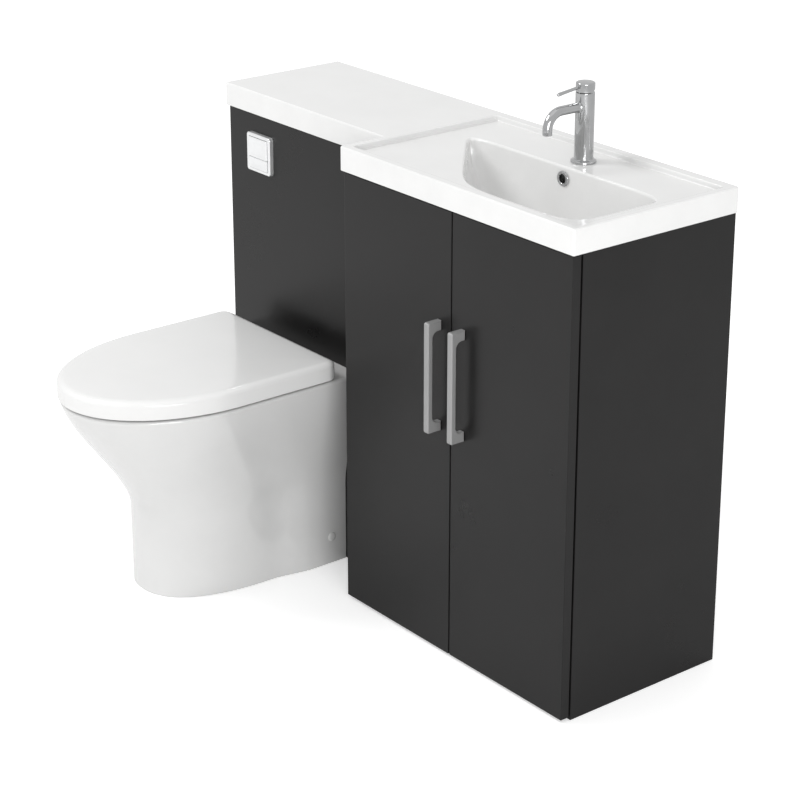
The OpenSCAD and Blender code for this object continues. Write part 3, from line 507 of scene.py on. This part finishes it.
# %% [markdown]
# ## The top
# One casting covers both cabinets. Its upper side is a flat L, with a shallow tray over the
# basin cabinet, and in the tray a bowl with four straight sides, of which the left one
# slants. Each level of the bowl is a ring, drawn in from that outline to a circle round the
# waste. Underneath, the casting is hollow, with the bowl's shell hanging in it.

# %%
LEFT, SPLIT, RIGHT = -550, -50, 550
WALL, DOOR_Y, PANEL_Y = 396, 30, 128
TOP, UNDER, TRAY, CEILING = 885, 840, 875, 860
TRAY_BOX = (-39, 42, 539, 375)
BASIN_POCKET, TOILET_POCKET = (-27, 53, 527, 372), (-527, 151, -77, 372)
WASTE, TAP = (260, 200), (260, 317)
# Each side of the bowl: the direction that it faces, and its reach from the waste
SIDES = ((90, 72), (0, 246), (-90, 132), (228, 119))
BOWL_DEEP, WASTE_R, CORNER, BOWL_STEPS = 113, 36, 7, 180


def top_outline(inset, z, r=4):
    """The L seen from above, pulled in by inset, with small round corners."""
    e = 5 - inset
    out, into = max(r - inset, 0.3), r + inset
    x0, x1, x2 = LEFT - e, SPLIT - e, RIGHT + e
    y0, y1 = PANEL_Y - e, DOOR_Y - e
    back = WALL - min(inset, 1)
    points = (arc(x0 + out, y0 + out, out, 180, 270) + arc(x1 - into, y0 - into, into, 90, 0)
              + arc(x1 + out, y1 + out, out, 180, 270) + arc(x2 - out, y1 + out, out, 270, 360)
              + arc(x2 - out, back - out, out, 0, 90) + arc(x0 + out, back - out, out, 90, 180))
    return level(points, z)


def bowl_reach(way, grow):
    """How far the bowl's edge is from the waste in one direction, with its corners rounded."""
    near = [max(cos(radians(way - side)), 0) / (far + grow) for side, far in SIDES]
    return sum(v ** CORNER for v in near) ** (-1 / CORNER)


def bowl_ring(depth, grow=0.0, wide=0.0, z=None):
    """The bowl at one depth, 0 at the tray and 1 at the waste."""
    t = 1 - sqrt(max(1 - depth * depth, 0)) ** 0.7
    high = TRAY - (BOWL_DEEP + grow) * depth if z is None else z
    ring = []
    for i in range(BOWL_STEPS):
        way = 360 * i / BOWL_STEPS
        r = mix(bowl_reach(way, grow + wide), WASTE_R + grow + wide, t)
        ring.append((WASTE[0] + r * cos(radians(way)), WASTE[1] + r * sin(radians(way)), high))
    return ring


def circle(x, y, r, z, steps=48):
    """A level circle."""
    return [(x + r * cos(2 * pi * i / steps), y + r * sin(2 * pi * i / steps), z)
            for i in range(steps)]


def box_ring(box, grow, r, z):
    """A round-cornered rectangle at one height, grown outwards on every side."""
    x0, y0, x1, y1 = box
    return level(round_box(x0 - grow, y0 - grow, x1 + grow, y1 + grow, r), z)


bm = bmesh.new()
edge_r = 3
rings = [top_outline(1, UNDER), top_outline(0, UNDER + 1), top_outline(0, TOP - edge_r)]
rings += [top_outline(edge_r * (1 - cos(a)), TOP - edge_r * (1 - sin(a)))
          for a in quarter(5, 1)]
foot, crown = loft(bm, rings)

brim, cove = 2, 3
tray = [box_ring(TRAY_BOX, brim * (1 - sin(a)), 8, TOP - brim * (1 - cos(a)))
        for a in quarter(4)]
tray += [box_ring(TRAY_BOX, -cove * (1 - cos(a)), 8, TRAY + cove * (1 - sin(a)))
         for a in quarter(4)]
tray_top, tray_floor = loft(bm, tray)
cap(bm, crown, tray_top)

lip = 5
bowl = [bowl_ring(lip * (1 - cos(a)) / BOWL_DEEP, wide=lip * (1 - sin(a)) * 0.8,
                  z=TRAY - lip * (1 - cos(a))) for a in quarter(5)]
bowl += [bowl_ring(mix(lip / BOWL_DEEP, 1, (k / 22) ** 0.9)) for k in range(1, 22)]
bowl.append(bowl_ring(1))
lip_edge, bowl_floor = loft(bm, bowl)
tap_hole, tap_hole_low = loft(bm, [circle(*TAP, 15.5, TRAY), circle(*TAP, 15.5, CEILING)])
cap(bm, tray_floor, lip_edge, tap_hole)
BOWL_LOW = TRAY - BOWL_DEEP
boss_z = BOWL_LOW - 17
waste_hole, waste_low = loft(bm, [circle(*WASTE, 23, BOWL_LOW), circle(*WASTE, 23, boss_z)])
cap(bm, bowl_floor, waste_hole)
boss_low, boss_top = loft(bm, [circle(*WASTE, WASTE_R, boss_z, BOWL_STEPS),
                               circle(*WASTE, WASTE_R + 0.2, boss_z + 9, BOWL_STEPS)]
                          + [bowl_ring(1 - 0.876 * (k / 16) ** 1.1, grow=8) for k in range(17)])
cap(bm, waste_low, boss_low)

pocket_low, pocket_top = loft(bm, [box_ring(BASIN_POCKET, 0, 5, z) for z in (UNDER, CEILING)])
cap(bm, pocket_top, boss_top, tap_hole_low)
small_low, small_top = loft(bm, [box_ring(TOILET_POCKET, 0, 5, z) for z in (UNDER, CEILING)])
cap(bm, small_top)
cap(bm, foot, pocket_low, small_low)
top = made("moulded_top", bm, STONE, angle=40)
over_x, over_y, over_z = OVERFLOW = (WASTE[0], 270.5, 853)
cut(top, rod("tool", (over_x, 240, over_z), (over_x, 292, over_z), 11, STONE),
    block("tool", (over_x - 15, 280.2, over_z + 2), (over_x + 15, 298, over_z + 15), STONE),
    angle=40)
stands_for(top, "unit", "basin_top")

# %% [markdown]
# ## Waste, plug and overflow
# A flanged waste sits in the bowl's lowest point, under a domed plug that stands a little
# proud when it is open. The overflow has a rolled chrome ring.

# %%
waste = turned("waste_flange", [(17, 616), (20.9, 616), (20.9, 762), (32.2, 762), (33, 762.8),
                                (32.2, 764.4), (30, 765), (20, 764.6), (18, 763.4), (17, 761)],
               (*WASTE, 0), BRASS, closed=True)
bar = block("tool", (WASTE[0] - 17.6, WASTE[1] - 4.8, 735),
            (WASTE[0] + 17.6, WASTE[1] + 4.8, 740.8), BRASS, 0.6)
waste = join("waste_flange", waste, bar)
cut(waste, rod("tool", (*WASTE, 720), (*WASTE, 750), 4.06, BRASS))
spigot = turned("tool", [(5, 19), (8, 19), (8, 24), (5, 24)], (WASTE[0] - 4, WASTE[1], 700),
                BRASS, "Y", closed=True)
waste = join("waste_flange", waste, spigot)
stands_for(waste, "unit", "waste_body")

plug = turned("waste_plug_cap", [(0, 718), (3.4, 718), (4, 718.8), (4, 774), (28, 774.4),
                                 (29.6, 774.8), (30.7, 776), (30.9, 777.4), (30.2, 778.8),
                                 (28.4, 779.8), (22, 780.4), (12, 780.9), (0, 781)],
              (*WASTE, 0), CHROME)
stands_for(plug, "waste_plug", "waste_plug")

ring = turned("overflow_ring_rolled", [(8, -1), (8.2, -2.2), (9, -3), (11.4, -3), (13, -2.4),
                                       (13.8, -1.2), (14, 0), (10.8, 0), (10.8, 19), (8, 19)],
              OVERFLOW, CHROME, "Y", closed=True)
stands_for(ring, "unit", "overflow_ring")

# %% [markdown]
# ## Tap
# A plain round column with a tubular spout that bends down over the bowl, and a pin lever
# on a turning cap. The column is turned on a lathe, the spout is swept along its path and
# flared slightly where it leaves the column.

# %%
SPOUT_Z, TIP_Y, BEND, SPOUT_R = 975, 231, 30, 8.5
PIN_ROOT, TILT_Z, TILT = 1012, 1004, 22
column = turned("tap_column", [
    (12, 835), (13.6, 835), (14, 836), (14, 875), (21.6, 875), (22.8, 875.6), (23, 876.6),
    (22.6, 878.6), (21, 879.8), (18.6, 880.4), (17.3, 881.6), (17, 883.5), (17, 998.6),
    (16.6, 999.7), (15.8, 1000), (14, 1000), (14, 961), (7, 961), (7, 893), (12, 893)],
    (*TAP, 0), CHROME, closed=True)
path = [(TAP[0], TAP[1] - d, SPOUT_Z) for d in (12, 16.4, 17.4, 18.6, 21, 40)]
radii = [10.5, 10.5, 9.6, 8.9, SPOUT_R, SPOUT_R]
for a in quarter(16):
    path.append((TAP[0], TIP_Y + BEND - BEND * sin(a), SPOUT_Z - BEND + BEND * cos(a)))
    radii.append(SPOUT_R)
tip_z = SPOUT_Z - BEND - 8
path += [(TAP[0], TIP_Y, tip_z + 0.8), (TAP[0], TIP_Y, tip_z)]
radii += [SPOUT_R, SPOUT_R - 0.5]
spout = tube("tool", path, radii, CHROME, steps=40)
cut(spout, rod("tool2", (TAP[0], TIP_Y, tip_z - 1), (TAP[0], TIP_Y, tip_z + 7), 7.2, CHROME))
column = join("tap_column", column, spout)
stands_for(column, "unit", "tap_body")

lever = turned("tap_cap_lever", [(0, 1001), (16.4, 1001), (17, 1001.6), (17, 1014.8),
                                 (16.6, 1016.4), (15.4, 1017.4), (13, 1017.8), (0, 1018)],
               (*TAP, 0), CHROME)
slope = radians(7)
pin = [(TAP[0], TAP[1] - d * cos(slope), PIN_ROOT - d * sin(slope))
       for d in (10, 16, 18, 30, 50, 62, 64, 65.2, 65.6)]
cut(lever, tube("tool", pin, [3.0, 3.0, 2.7, 2.8, 3.0, 3.2, 3.0, 2.2, 1.2], CHROME, 24),
    operation="UNION")
back = block("tool", (TAP[0] - 20, -1, -22), (TAP[0] + 20, 24, -2.4), CHROME)
back.data.transform(Matrix.Translation((0, TAP[1] * MM, TILT_Z * MM))
                    @ Matrix.Rotation(radians(TILT), 4, "X"))
cut(lever, back, rod("tool2", (*TAP, 1000), (*TAP, 1011), 8, CHROME))
cut(lever, rod("tool", (TAP[0] - 12.5, TAP[1], TILT_Z), (TAP[0] + 12.5, TAP[1], TILT_Z),
               1.56, CHROME))
stands_for(lever, "tap_lever", "tap_lever")

# %% [markdown]
# ## Boards
# The fronts and sides are laminated boards with a round of about a millimetre on each edge,
# where the plastic edging has been trimmed. The doors have holes for their hinge cups and
# handle bolts, the sides for dowels and shelf pins, and the toilet's panel for the pipes and
# the flush control.

# %%
MIDDLE, HINGE_Z, SCREW_Z = (SPLIT + RIGHT) / 2, (110, 730), (442, 628)
CUP_X, HANDLE_X = (SPLIT + 21.5, RIGHT - 21.5), (MIDDLE - 31.5, MIDDLE + 31.5)
BOARD, DOOR_BACK, PANEL_BACK, CASE_Y = 18, 48, 146, 51
DOOR_Z, PANEL_Z = (6, 837), (2, 838)
PAN_X, SOIL_Z, FLUSH_Z, PLATE, PIN_Z = -320, 185, 335, (-443, 765), 397.5
BASIN_DOWELS = [(111, 39), (328, 39), (387, 760), (387, 820), (387, 66), (387, 110)]
WC_DOWELS = [(387, 760), (387, 820), (387, 20), (387, 60), (155, 803), (155, 827)]


def door(side, x0, x1, cup_x, bolt_x):
    """A door board with holes bored for its hinge cups and handle bolts."""
    leaf = block(side + "_door_leaf", (x0, DOOR_Y, DOOR_Z[0]), (x1, DOOR_BACK, DOOR_Z[1]), FACE,
                 1.0, 3)
    tools = [rod("cup", (cup_x, DOOR_Y + 5, z), (cup_x, DOOR_BACK + 1, z), 17.6, FACE)
             for z in HINGE_Z]
    tools += [rod("bolt", (bolt_x, DOOR_Y - 1, z), (bolt_x, DOOR_BACK + 1, z), 2.3, FACE,
                  steps=24) for z in SCREW_Z]
    cut(leaf, *tools)
    stands_for(leaf, side + "_door", side + "_door")


door("left", SPLIT + 1, MIDDLE - 1.5, CUP_X[0], HANDLE_X[0])
door("right", MIDDLE + 1.5, RIGHT - 1, CUP_X[1], HANDLE_X[1])

panel = block("toilet_panel", (LEFT + 1, PANEL_Y, PANEL_Z[0]),
              (SPLIT - 0.5, PANEL_BACK, PANEL_Z[1]), FACE, 1.0, 3)
cut(panel, *[rod("tool", (x, PANEL_Y - 1, z), (x, PANEL_BACK + 1, z), r, FACE, steps=steps)
             for x, z, r, steps in ((PAN_X, SOIL_Z, 75, 72), (PAN_X, FLUSH_Z, 34, 48),
                                    (*PLATE, 23, 48))])
stands_for(panel, "unit", "wc_panel")


def side_board(name, node, x, y, inner, dowels, pin_x=None):
    """A side of a cabinet with its edges rounded, bored for shelf pins and dowels."""
    board = block(name, (x, y, 0), (x + BOARD, WALL, UNDER), FACE, 0.8, 3)
    tools = []
    if pin_x is not None:
        tools += [rod("pin", (pin_x, pin_y, PIN_Z), (pin_x + 16, pin_y, PIN_Z), 2.5, FACE,
                      steps=16) for pin_y in (160, 336)]
    tools += [rod("dowel", (inner - 12.2, *yz), (inner + 12.2, *yz), 4, FACE, steps=16)
              for yz in dowels]
    cut(board, *tools)
    stands_for(board, "unit", node)


side_board("basin_left_side", "basin_side_left", SPLIT, CASE_Y, SPLIT + BOARD, BASIN_DOWELS,
           SPLIT + 10)
side_board("basin_right_side", "basin_side_right", RIGHT - BOARD, CASE_Y, RIGHT - BOARD,
           BASIN_DOWELS, RIGHT - 26)
side_board("toilet_left_side", "wc_side_left", LEFT, PANEL_BACK, LEFT + BOARD, WC_DOWELS)

# %% [markdown]
# ## Handles
# Each handle is one satin bow: a flat bar with broad feet that sweep into it.


# %%
def handle(side, x):
    """The bow's outline in the YZ plane, extruded across and rounded over."""
    low, high, wide, bar, foot, r = 433, 637, 13, 11, 18, 12
    outline = ([(DOOR_Y, high), (DOOR_Y, high - foot)]
               + arc(bar + r, high - foot - r, r, 90, 180, 8)
               + arc(bar + r, low + foot + r, r, 180, 270, 8)
               + [(DOOR_Y, low + foot), (DOOR_Y, low)]
               + arc(4, low + 4, 4, 270, 180, 6) + arc(4, high - 4, 4, 180, 90, 6))
    bm = bmesh.new()
    edges = loop(bm, [(x - wide / 2, y, z) for y, z in outline])
    face = bmesh.ops.contextual_create(bm, geom=edges)["faces"]
    grown = bmesh.ops.extrude_face_region(bm, geom=face)["geom"]
    bmesh.ops.translate(bm, vec=(wide, 0, 0),
                        verts=[g for g in grown if isinstance(g, bmesh.types.BMVert)])
    bmesh.ops.recalc_face_normals(bm, faces=bm.faces)
    rims = [e for e in bm.edges if abs(e.verts[0].co.x - e.verts[1].co.x) < 0.01]
    bmesh.ops.bevel(bm, geom=rims, offset=2.6, offset_type="OFFSET", affect="EDGES", segments=4,
                    profile=0.5, material=-1, clamp_overlap=True)
    bow = made(side + "_bow_handle", bm, SATIN)
    cut(bow, *[rod("bolt", (x, 15.5, z), (x, DOOR_Y + 1, z), 2, SATIN, steps=20)
               for z in SCREW_Z])
    stands_for(bow, side + "_door", side + "_handle")


handle("left", HANDLE_X[0])
handle("right", HANDLE_X[1])

# %% [markdown]
# ## Flush control
# A square plate with soft corners frames two push buttons, the larger one for a full flush.


# %%
def plate_rings(x0, z0, x1, z1, r, front, back, soft):
    """Rings of a soft-edged plate that faces the front, from its back to its face."""
    rings = [[(x, back, z) for x, z in round_box(x0, z0, x1, z1, r)]]
    for a in quarter(4):
        d = soft * (1 - cos(a))
        rings.append([(x, front + soft * (1 - sin(a)), z)
                      for x, z in round_box(x0 + d, z0 + d, x1 - d, z1 - d, max(r - d, 0.5))])
    return rings


def square(half):
    """The corners of a square round the flush control's centre."""
    return PLATE[0] - half, PLATE[1] - half, PLATE[0] + half, PLATE[1] + half


PLATE_Y, BUTTON_Y, SOFT = PANEL_Y - 9, PANEL_Y - 10.5, 1.2
bm = bmesh.new()
outer_back, outer_front = loft(bm, plate_rings(*square(38), 6, PLATE_Y, PANEL_Y, 2.5))
inner = []
for a in quarter(3):
    d = SOFT * (1 - sin(a))
    inner.append([(x, PLATE_Y + SOFT * (1 - cos(a)), z)
                  for x, z in round_box(*square(31 + d), 2.5 + d)])
inner.append([(x, PANEL_Y, z) for x, z in round_box(*square(31), 2.5)])
inner_front, inner_back = loft(bm, inner)
cap(bm, outer_front, inner_front)
cap(bm, outer_back, inner_back)
stands_for(made("flush_frame", bm, PALE), "unit", "flush_bezel")


def button(name, z0, z1, stem_z, body):
    """A push plate with a faint dish, on its round stem."""
    bm = bmesh.new()
    x0, x1 = PLATE[0] - 30.6, PLATE[0] + 30.6
    rings = plate_rings(x0, z0, x1, z1, 2, BUTTON_Y, BUTTON_Y + 2.5, SOFT)
    for k in (1, 2, 3):
        d = SOFT + 4.5 * k
        rings.append([(x, BUTTON_Y + 0.12 * k * k / 3, z)
                      for x, z in round_box(x0 + d, z0 + d * 0.6, x1 - d, z1 - d * 0.6, 2)])
    for end in loft(bm, rings):
        cap(bm, end)
    face = made(name, bm, PALE)
    stem = rod("stem", (PLATE[0], BUTTON_Y + 2.3, stem_z), (PLATE[0], BUTTON_Y + 44, stem_z),
               4, PALE)
    stands_for(join(name, face, stem), body, body)


button("full_flush_button", 756.4, 795.6, 775.5, "full_button")
button("half_flush_button", 734.4, 756.0, 751, "half_button")

# %% [markdown]
# ## The pan
# The pan is glazed ware, slip-cast in one piece: a straight foot that flares into a wide
# rim, a bowl inside it, and behind the bowl the trap that holds the water seal. The outside
# grows from D-shaped rings. The bowl is lofted from ovals that follow the flare, so that the
# ware keeps an even thickness, and the hollow behind is cut out round the trap.

# %%
RIM_Z, FLARE_Z, SUMP_Z = 402, 170, 70
HINGE, POST, CAP = (66, 424), 77.5, (94, 56)
# The outside at the foot and at the rim: half width, front, where the sides start, form
FOOT, RIM = (122, -256, -40, 2.3), (184, -394, -140, 2)
# The bowl in the sump and at the rim: half width, reach to the front, to the back, centre
SUMP, MOUTH = (34, 34, 34, -150), (118, 150, 140, -195)


def flare(z):
    """0 at the foot, 1 at the rim."""
    t = max((z - FLARE_Z) / (RIM_Z - FLARE_Z), 0)
    return (t + t * t * (3 - 2 * t)) / 2


def soft_flare(z):
    """The same flare with its start eased, as ware has no hard corner."""
    ease = 14
    if z < FLARE_Z - ease:
        return 0.0
    if z < FLARE_Z + ease:
        u = (z - FLARE_Z + ease) / (2 * ease)
        return flare(FLARE_Z + ease) * u * u
    return flare(z)


def d_shape(half, spread, front, straight, back, n, z, steps=72):
    """A ring with a round front, sides that spread a little, and a square back."""
    ring = []
    for i in range(steps + 1):
        a = pi + pi * i / steps
        ring.append((PAN_X + half * power(cos(a), n), straight + (straight - front)
                     * power(sin(a), n), z))
    sides = []
    for k in range(1, 11):
        y = mix(straight, back, k / 10)
        t = min((y - straight) / 90, 1)
        sides.append((half + spread * t * t * (3 - 2 * t), y))
    wide = half + spread
    ring += [(PAN_X + x, y, z) for x, y in sides]
    ring += [(PAN_X + wide * (1 - k / 3), back, z) for k in range(1, 6)]
    ring += [(PAN_X - x, y, z) for x, y in reversed(sides)]
    return ring


def pan_ring(z, inset=0.0, back=PANEL_Y, at=None):
    """The outside with the form that it has at height z, placed there or at another height."""
    s = soft_flare(z)
    half, front, straight, form = (mix(a, b, s) for a, b in zip(FOOT, RIM))
    return d_shape(half - inset, 14 * (1 - s), front + inset, straight, back, form,
                   z if at is None else at)


def oval(half, front, back, middle, n, z, steps=96):
    """A level oval, a little squared, that reaches further to the front than to the back."""
    turns = [2 * pi * i / steps for i in range(steps)]
    return [(PAN_X + half * power(cos(a), n),
             middle + (front if sin(a) < 0 else back) * power(sin(a), n), z) for a in turns]


def pan_bowl(u, grow=0.0, z=None):
    """One ring of the pan's bowl, from 0 in the sump to 1 at the rim."""
    s = u * u * (3 - 2 * u)
    half = mix(SUMP[0], MOUTH[0], s ** 0.7) + grow
    front, back = mix(SUMP[1], MOUTH[1], s) + grow, mix(SUMP[2], MOUTH[2], s) + grow
    return oval(half, front, back, mix(SUMP[3], MOUTH[3], s), 2.2,
                mix(SUMP_Z, RIM_Z, u) if z is None else z)


bm = bmesh.new()
rings = [pan_ring(0, 1.5), pan_ring(0.4, 0.7, at=0.4), pan_ring(1.5)]
rings += [pan_ring(z) for z in (60, 120, 150, 160, 166, 172, 178, 186, 194, 202)]
rings += [pan_ring(z) for z in range(212, 396, 9)]
lip = 6
rings += [pan_ring(RIM_Z - lip, lip * (1 - cos(a)), at=RIM_Z - lip + lip * sin(a))
          for a in quarter(5)]
pan_foot, pan_rim = loft(bm, rings)
inside = [pan_bowl(1, lip * (1 - sin(a)), z=RIM_Z - lip * (1 - cos(a))) for a in quarter(5)]
inside += [pan_bowl(1 - 0.02 - 0.9 * (k / 30)) for k in range(31)]
inside += [pan_bowl(0.05), pan_bowl(0.02, -1.5, z=SUMP_Z + 6), pan_bowl(0, -5, z=SUMP_Z + 2),
           pan_bowl(0, -11, z=SUMP_Z)]
bowl_lip, sump = loft(bm, inside)
cap(bm, pan_rim, bowl_lip)
cap(bm, sump)
cap(bm, pan_foot)
pan = made("glazed_pan", bm, WHITE, angle=50)

bm = bmesh.new()
ware, past = 12, PANEL_Y + 1
hollow = [pan_ring(0, ware, past, at=-1)]
hollow += [pan_ring(z, ware, past) for z in (20, 90, 150, 165, 180, 195)]
hollow += [pan_ring(z, ware, past) for z in range(212, 380, 14)] + [pan_ring(385, ware, past)]
for one in loft(bm, hollow):
    cap(bm, one)
void = made("hollow", bm, WHITE, weighted=False)
bm = bmesh.new()
for one in loft(bm, [pan_bowl(0, 1, z=60), pan_bowl(0, 8, z=66), pan_bowl(0, 10, z=76)]
                + [pan_bowl(u / 24, 10) for u in range(1, 24)] + [pan_bowl(1, 10, z=391)]):
    cap(bm, one)
shell = made("bowl_shell", bm, WHITE, weighted=False)


def passage(grow, end):
    """The trap: back from the sump, up over the weir, and out at the back."""
    low, bend, weir, rise_y = 98, 38, 200, -10
    points = [(PAN_X, SUMP[3], low), (PAN_X, SUMP[3] + 60, low)]
    points += [(PAN_X, rise_y - bend + bend * sin(a), low + bend - bend * cos(a))
               for a in quarter(10)]
    points += [(PAN_X, rise_y + bend - bend * cos(a), weir - bend + bend * sin(a))
               for a in quarter(10)]
    points += [(PAN_X, end, weir)]
    sizes = [28 + grow] * 13 + [mix(28, 24, k / 10) + grow for k in range(11)] + [24 + grow]
    return tube("trap", points, sizes, WHITE, steps=40)


def bore(name, y0, y1, z, r):
    """A round way through the pan, from front to back."""
    return rod(name, (PAN_X, y0, z), (PAN_X, y1, z), r, WHITE)


cut(void, shell, passage(9, 44), bore("soil", 38, 118, SOIL_Z, 51),
    bore("horn", 50, 116, FLUSH_Z, 36), bore("neck", -80, 60, FLUSH_Z, 27))
cut(pan, void, angle=50)
cut(pan, passage(0, 52), bore("soil", 46, 140, SOIL_Z, 43), bore("horn", 70, 140, FLUSH_Z, 28),
    bore("neck", -90, 71, FLUSH_Z, 18), angle=50)
holes = [rod("stud", (PAN_X + s * POST, HINGE[0], 372), (PAN_X + s * POST, HINGE[0], 412), 7,
             WHITE) for s in (-1, 1)]
holes += [rod("screw", (PAN_X + s * 120, *CAP), (PAN_X + s * 140, *CAP), 5, WHITE)
          for s in (-1, 1)]
cut(pan, *holes, angle=50)
stands_for(pan, "unit", "wc_pan")

# %% [markdown]
# ## Seat and cover
# Both are thermoset plastic. The ring has soft edges all round. The cover wraps down over
# it, with a broad round shoulder and a top that is very slightly crowned.

# %%
SEAT, COVER, WIDEST = (173, -382, 40), (186, -396, 78), -140
SEAT_LOW, SEAT_HIGH, SKIRT = 408, 422, 405.5


def seat_shape(form, inset, z, r=22, steps=72):
    """The outline of (half width, front, back), pulled in by inset, with round back corners."""
    half, front, back = form[0] - inset, form[1] + inset, form[2] - inset
    ring = []
    for i in range(steps + 1):
        a = pi + pi * i / steps
        ring.append((PAN_X + half * cos(a), WIDEST + (WIDEST - front) * sin(a), z))
    ring += level(arc(PAN_X + half - r, back - r, r, 0, 90, 10), z)
    ring += level(arc(PAN_X - half + r, back - r, r, 90, 180, 10), z)
    return ring


def seat_hole(grow, z):
    """The opening in the seat."""
    return oval(104 + grow, 138 + grow, 112 + grow, MOUTH[3], 2.1, z)


def knuckle(x0, x1, r=8.0):
    """A short sleeve round the hinge pin."""
    return turned("knuckle", [(4.05, 0), (r - 0.8, 0), (r, 0.8), (r, x1 - x0 - 0.8),
                              (r - 0.8, x1 - x0), (4.05, x1 - x0)], (x0, *HINGE),
                  PLASTIC, "X", closed=True, steps=40)


bm = bmesh.new()
rings = [seat_shape(SEAT, 3 * (1 - sin(a)), SEAT_LOW + 3 * (1 - cos(a))) for a in quarter(4)]
rings += [seat_shape(SEAT, 6 * (1 - cos(a)), SEAT_HIGH - 6 + 6 * sin(a)) for a in quarter(6, 1)]
low, high = loft(bm, rings)
rings = [seat_hole(7 * (1 - sin(a)), SEAT_HIGH - 7 * (1 - cos(a))) for a in quarter(6)]
rings += [seat_hole(2 * (1 - cos(a)), SEAT_LOW + 2 - 2 * sin(a)) for a in quarter(3, 1)]
hole_high, hole_low = loft(bm, rings)
cap(bm, high, hole_high)
cap(bm, low, hole_low)
parts = [made("seat_ring", bm, PLASTIC)]
for s in (-1, 1):
    x = sorted((PAN_X + s * 50.5, PAN_X + s * 68.5))
    parts.append(knuckle(*x))
    parts.append(block("web", (x[0], 34, SEAT_LOW + 4), (x[1], 61, SEAT_HIGH - 0.5), PLASTIC,
                       1.0))
    for dx, y in ((140, -40), (118, -290)):
        parts.append(turned("pad", [(0, 402.3), (7.5, 402.3), (8.6, 402.8), (9, 404), (9, 408.4),
                                    (0, 408.4)], (PAN_X + s * dx, y, 0), PLASTIC, steps=32))
stands_for(join("seat_ring", *parts), "seat", "seat")

bm = bmesh.new()
rings = [seat_shape(COVER, d, z) for d, z in ((2, SKIRT), (0.6, SKIRT + 0.7), (0, SKIRT + 2.5))]
for a in quarter(8):
    d = 16 * (1 - cos(a))
    rings.append(seat_shape(COVER, d, 431.5 + 10 * sin(a), r=max(22 - d, 8)))
rings += [seat_shape(COVER, d, z, r=8) for d, z in ((30, 442.1), (60, 442.6), (100, 442.9))]
skirt_out, crown = loft(bm, rings)
cap(bm, crown)
rings = [seat_shape(COVER, d, z) for d, z in ((3.4, SKIRT), (5, SKIRT + 2), (5, 431),
                                              (7, 434.5), (12, 436.5))]
skirt_in, roof = loft(bm, rings)
cap(bm, roof)
cap(bm, skirt_out, skirt_in)
cover = made("seat_cover", bm, PLASTIC)
cut(cover, block("tool", (PAN_X - 112, 46, 404), (PAN_X + 112, 80, 436.6), PLASTIC))
parts = [cover]
for s in (-1, 1):
    x = sorted((PAN_X + s * 86.5, PAN_X + s * 104.5))
    parts.append(knuckle(*x))
    rib = block("rib", (x[0], HINGE[0] - 6, HINGE[1]), (x[1], HINGE[0] + 6, HINGE[1] + 14),
                PLASTIC)
    cut(rib, rod("tool", (x[0] - 1, *HINGE), (x[1] + 1, *HINGE), 7.9, PLASTIC))
    parts.append(rib)
    parts.append(turned("pad", [(0, 437.5), (7, 437.5), (7, 424), (6.4, 422.8), (5, 422.3),
                                (0, 422.3)], (PAN_X + s * 110, -300, 0), PLASTIC, steps=32))
stands_for(join("seat_cover", *parts), "lid", "lid")

# %% [markdown]
# The hinge posts stand on chrome discs, and small domed caps cover the fixing screws.

# %%
posts = []
for s in (-1, 1):
    x = PAN_X + s * POST
    base = turned("post", [(0, 362), (4, 362), (4, 402), (11.4, 402), (12, 402.6), (12, 404),
                           (11.4, 405), (9, 405.6), (0, 405.6)], (x, HINGE[0], 0), CHROME)
    neck = block("neck", (x - 7, HINGE[0] - 7, 404.5), (x + 7, HINGE[0] + 7, HINGE[1] + 2),
                 CHROME, 1.5)
    head = turned("head", [(0, 0), (8.2, 0), (9, 0.8), (9, 13.2), (8.2, 14), (0, 14)],
                  (x - 7, *HINGE), CHROME, "X", steps=48)
    cut(neck, head, operation="UNION")
    cut(neck, rod("tool", (x - 8, *HINGE), (x + 8, *HINGE), 4.06, CHROME))
    nut = turned("nut", [(4.2, 379), (11.4, 379), (12, 379.6), (12, 384.4), (11.4, 385),
                         (4.2, 385)], (x, HINGE[0], 0), CHROME, closed=True, steps=6)
    posts += [base, neck, nut]
stands_for(join("hinge_posts", *posts), "unit", "seat_posts")

caps = [turned("cap", [(0, 3), (4, 2.9), (7, 2.4), (8.6, 1.4), (9, 0.3), (8.8, 0), (0, 0)],
               (PAN_X + s * 136, *CAP), WHITE, "X" if s > 0 else "-X")
        for s in (-1, 1)]
stands_for(join("screw_caps", *caps), "unit", "pan_caps")

# %% [markdown]
# ## Floor
# One wide pale sheet. It is staging, not part of the object. It glows, strongly for the
# camera and faintly for everything else, so the background goes to white as in the
# photograph while the object still has a soft shadow under it.

# %%
bm = bmesh.new()
bmesh.ops.create_grid(bm, x_segments=2, y_segments=2, size=14000)
floor_mat = finish("studio_floor", (0.86, 0.86, 0.86), (0.85, 0.85, 0.85), (0.85, 0.9),
                   Emission_Color=(1, 1, 1, 1))
camera_sees_more(floor_mat.node_tree, 0.03, 0.42,
                 floor_mat.node_tree.nodes["Principled BSDF"].inputs["Emission Strength"])
floor = made("floor", bm, floor_mat)
floor.location.z = -0.5 * MM
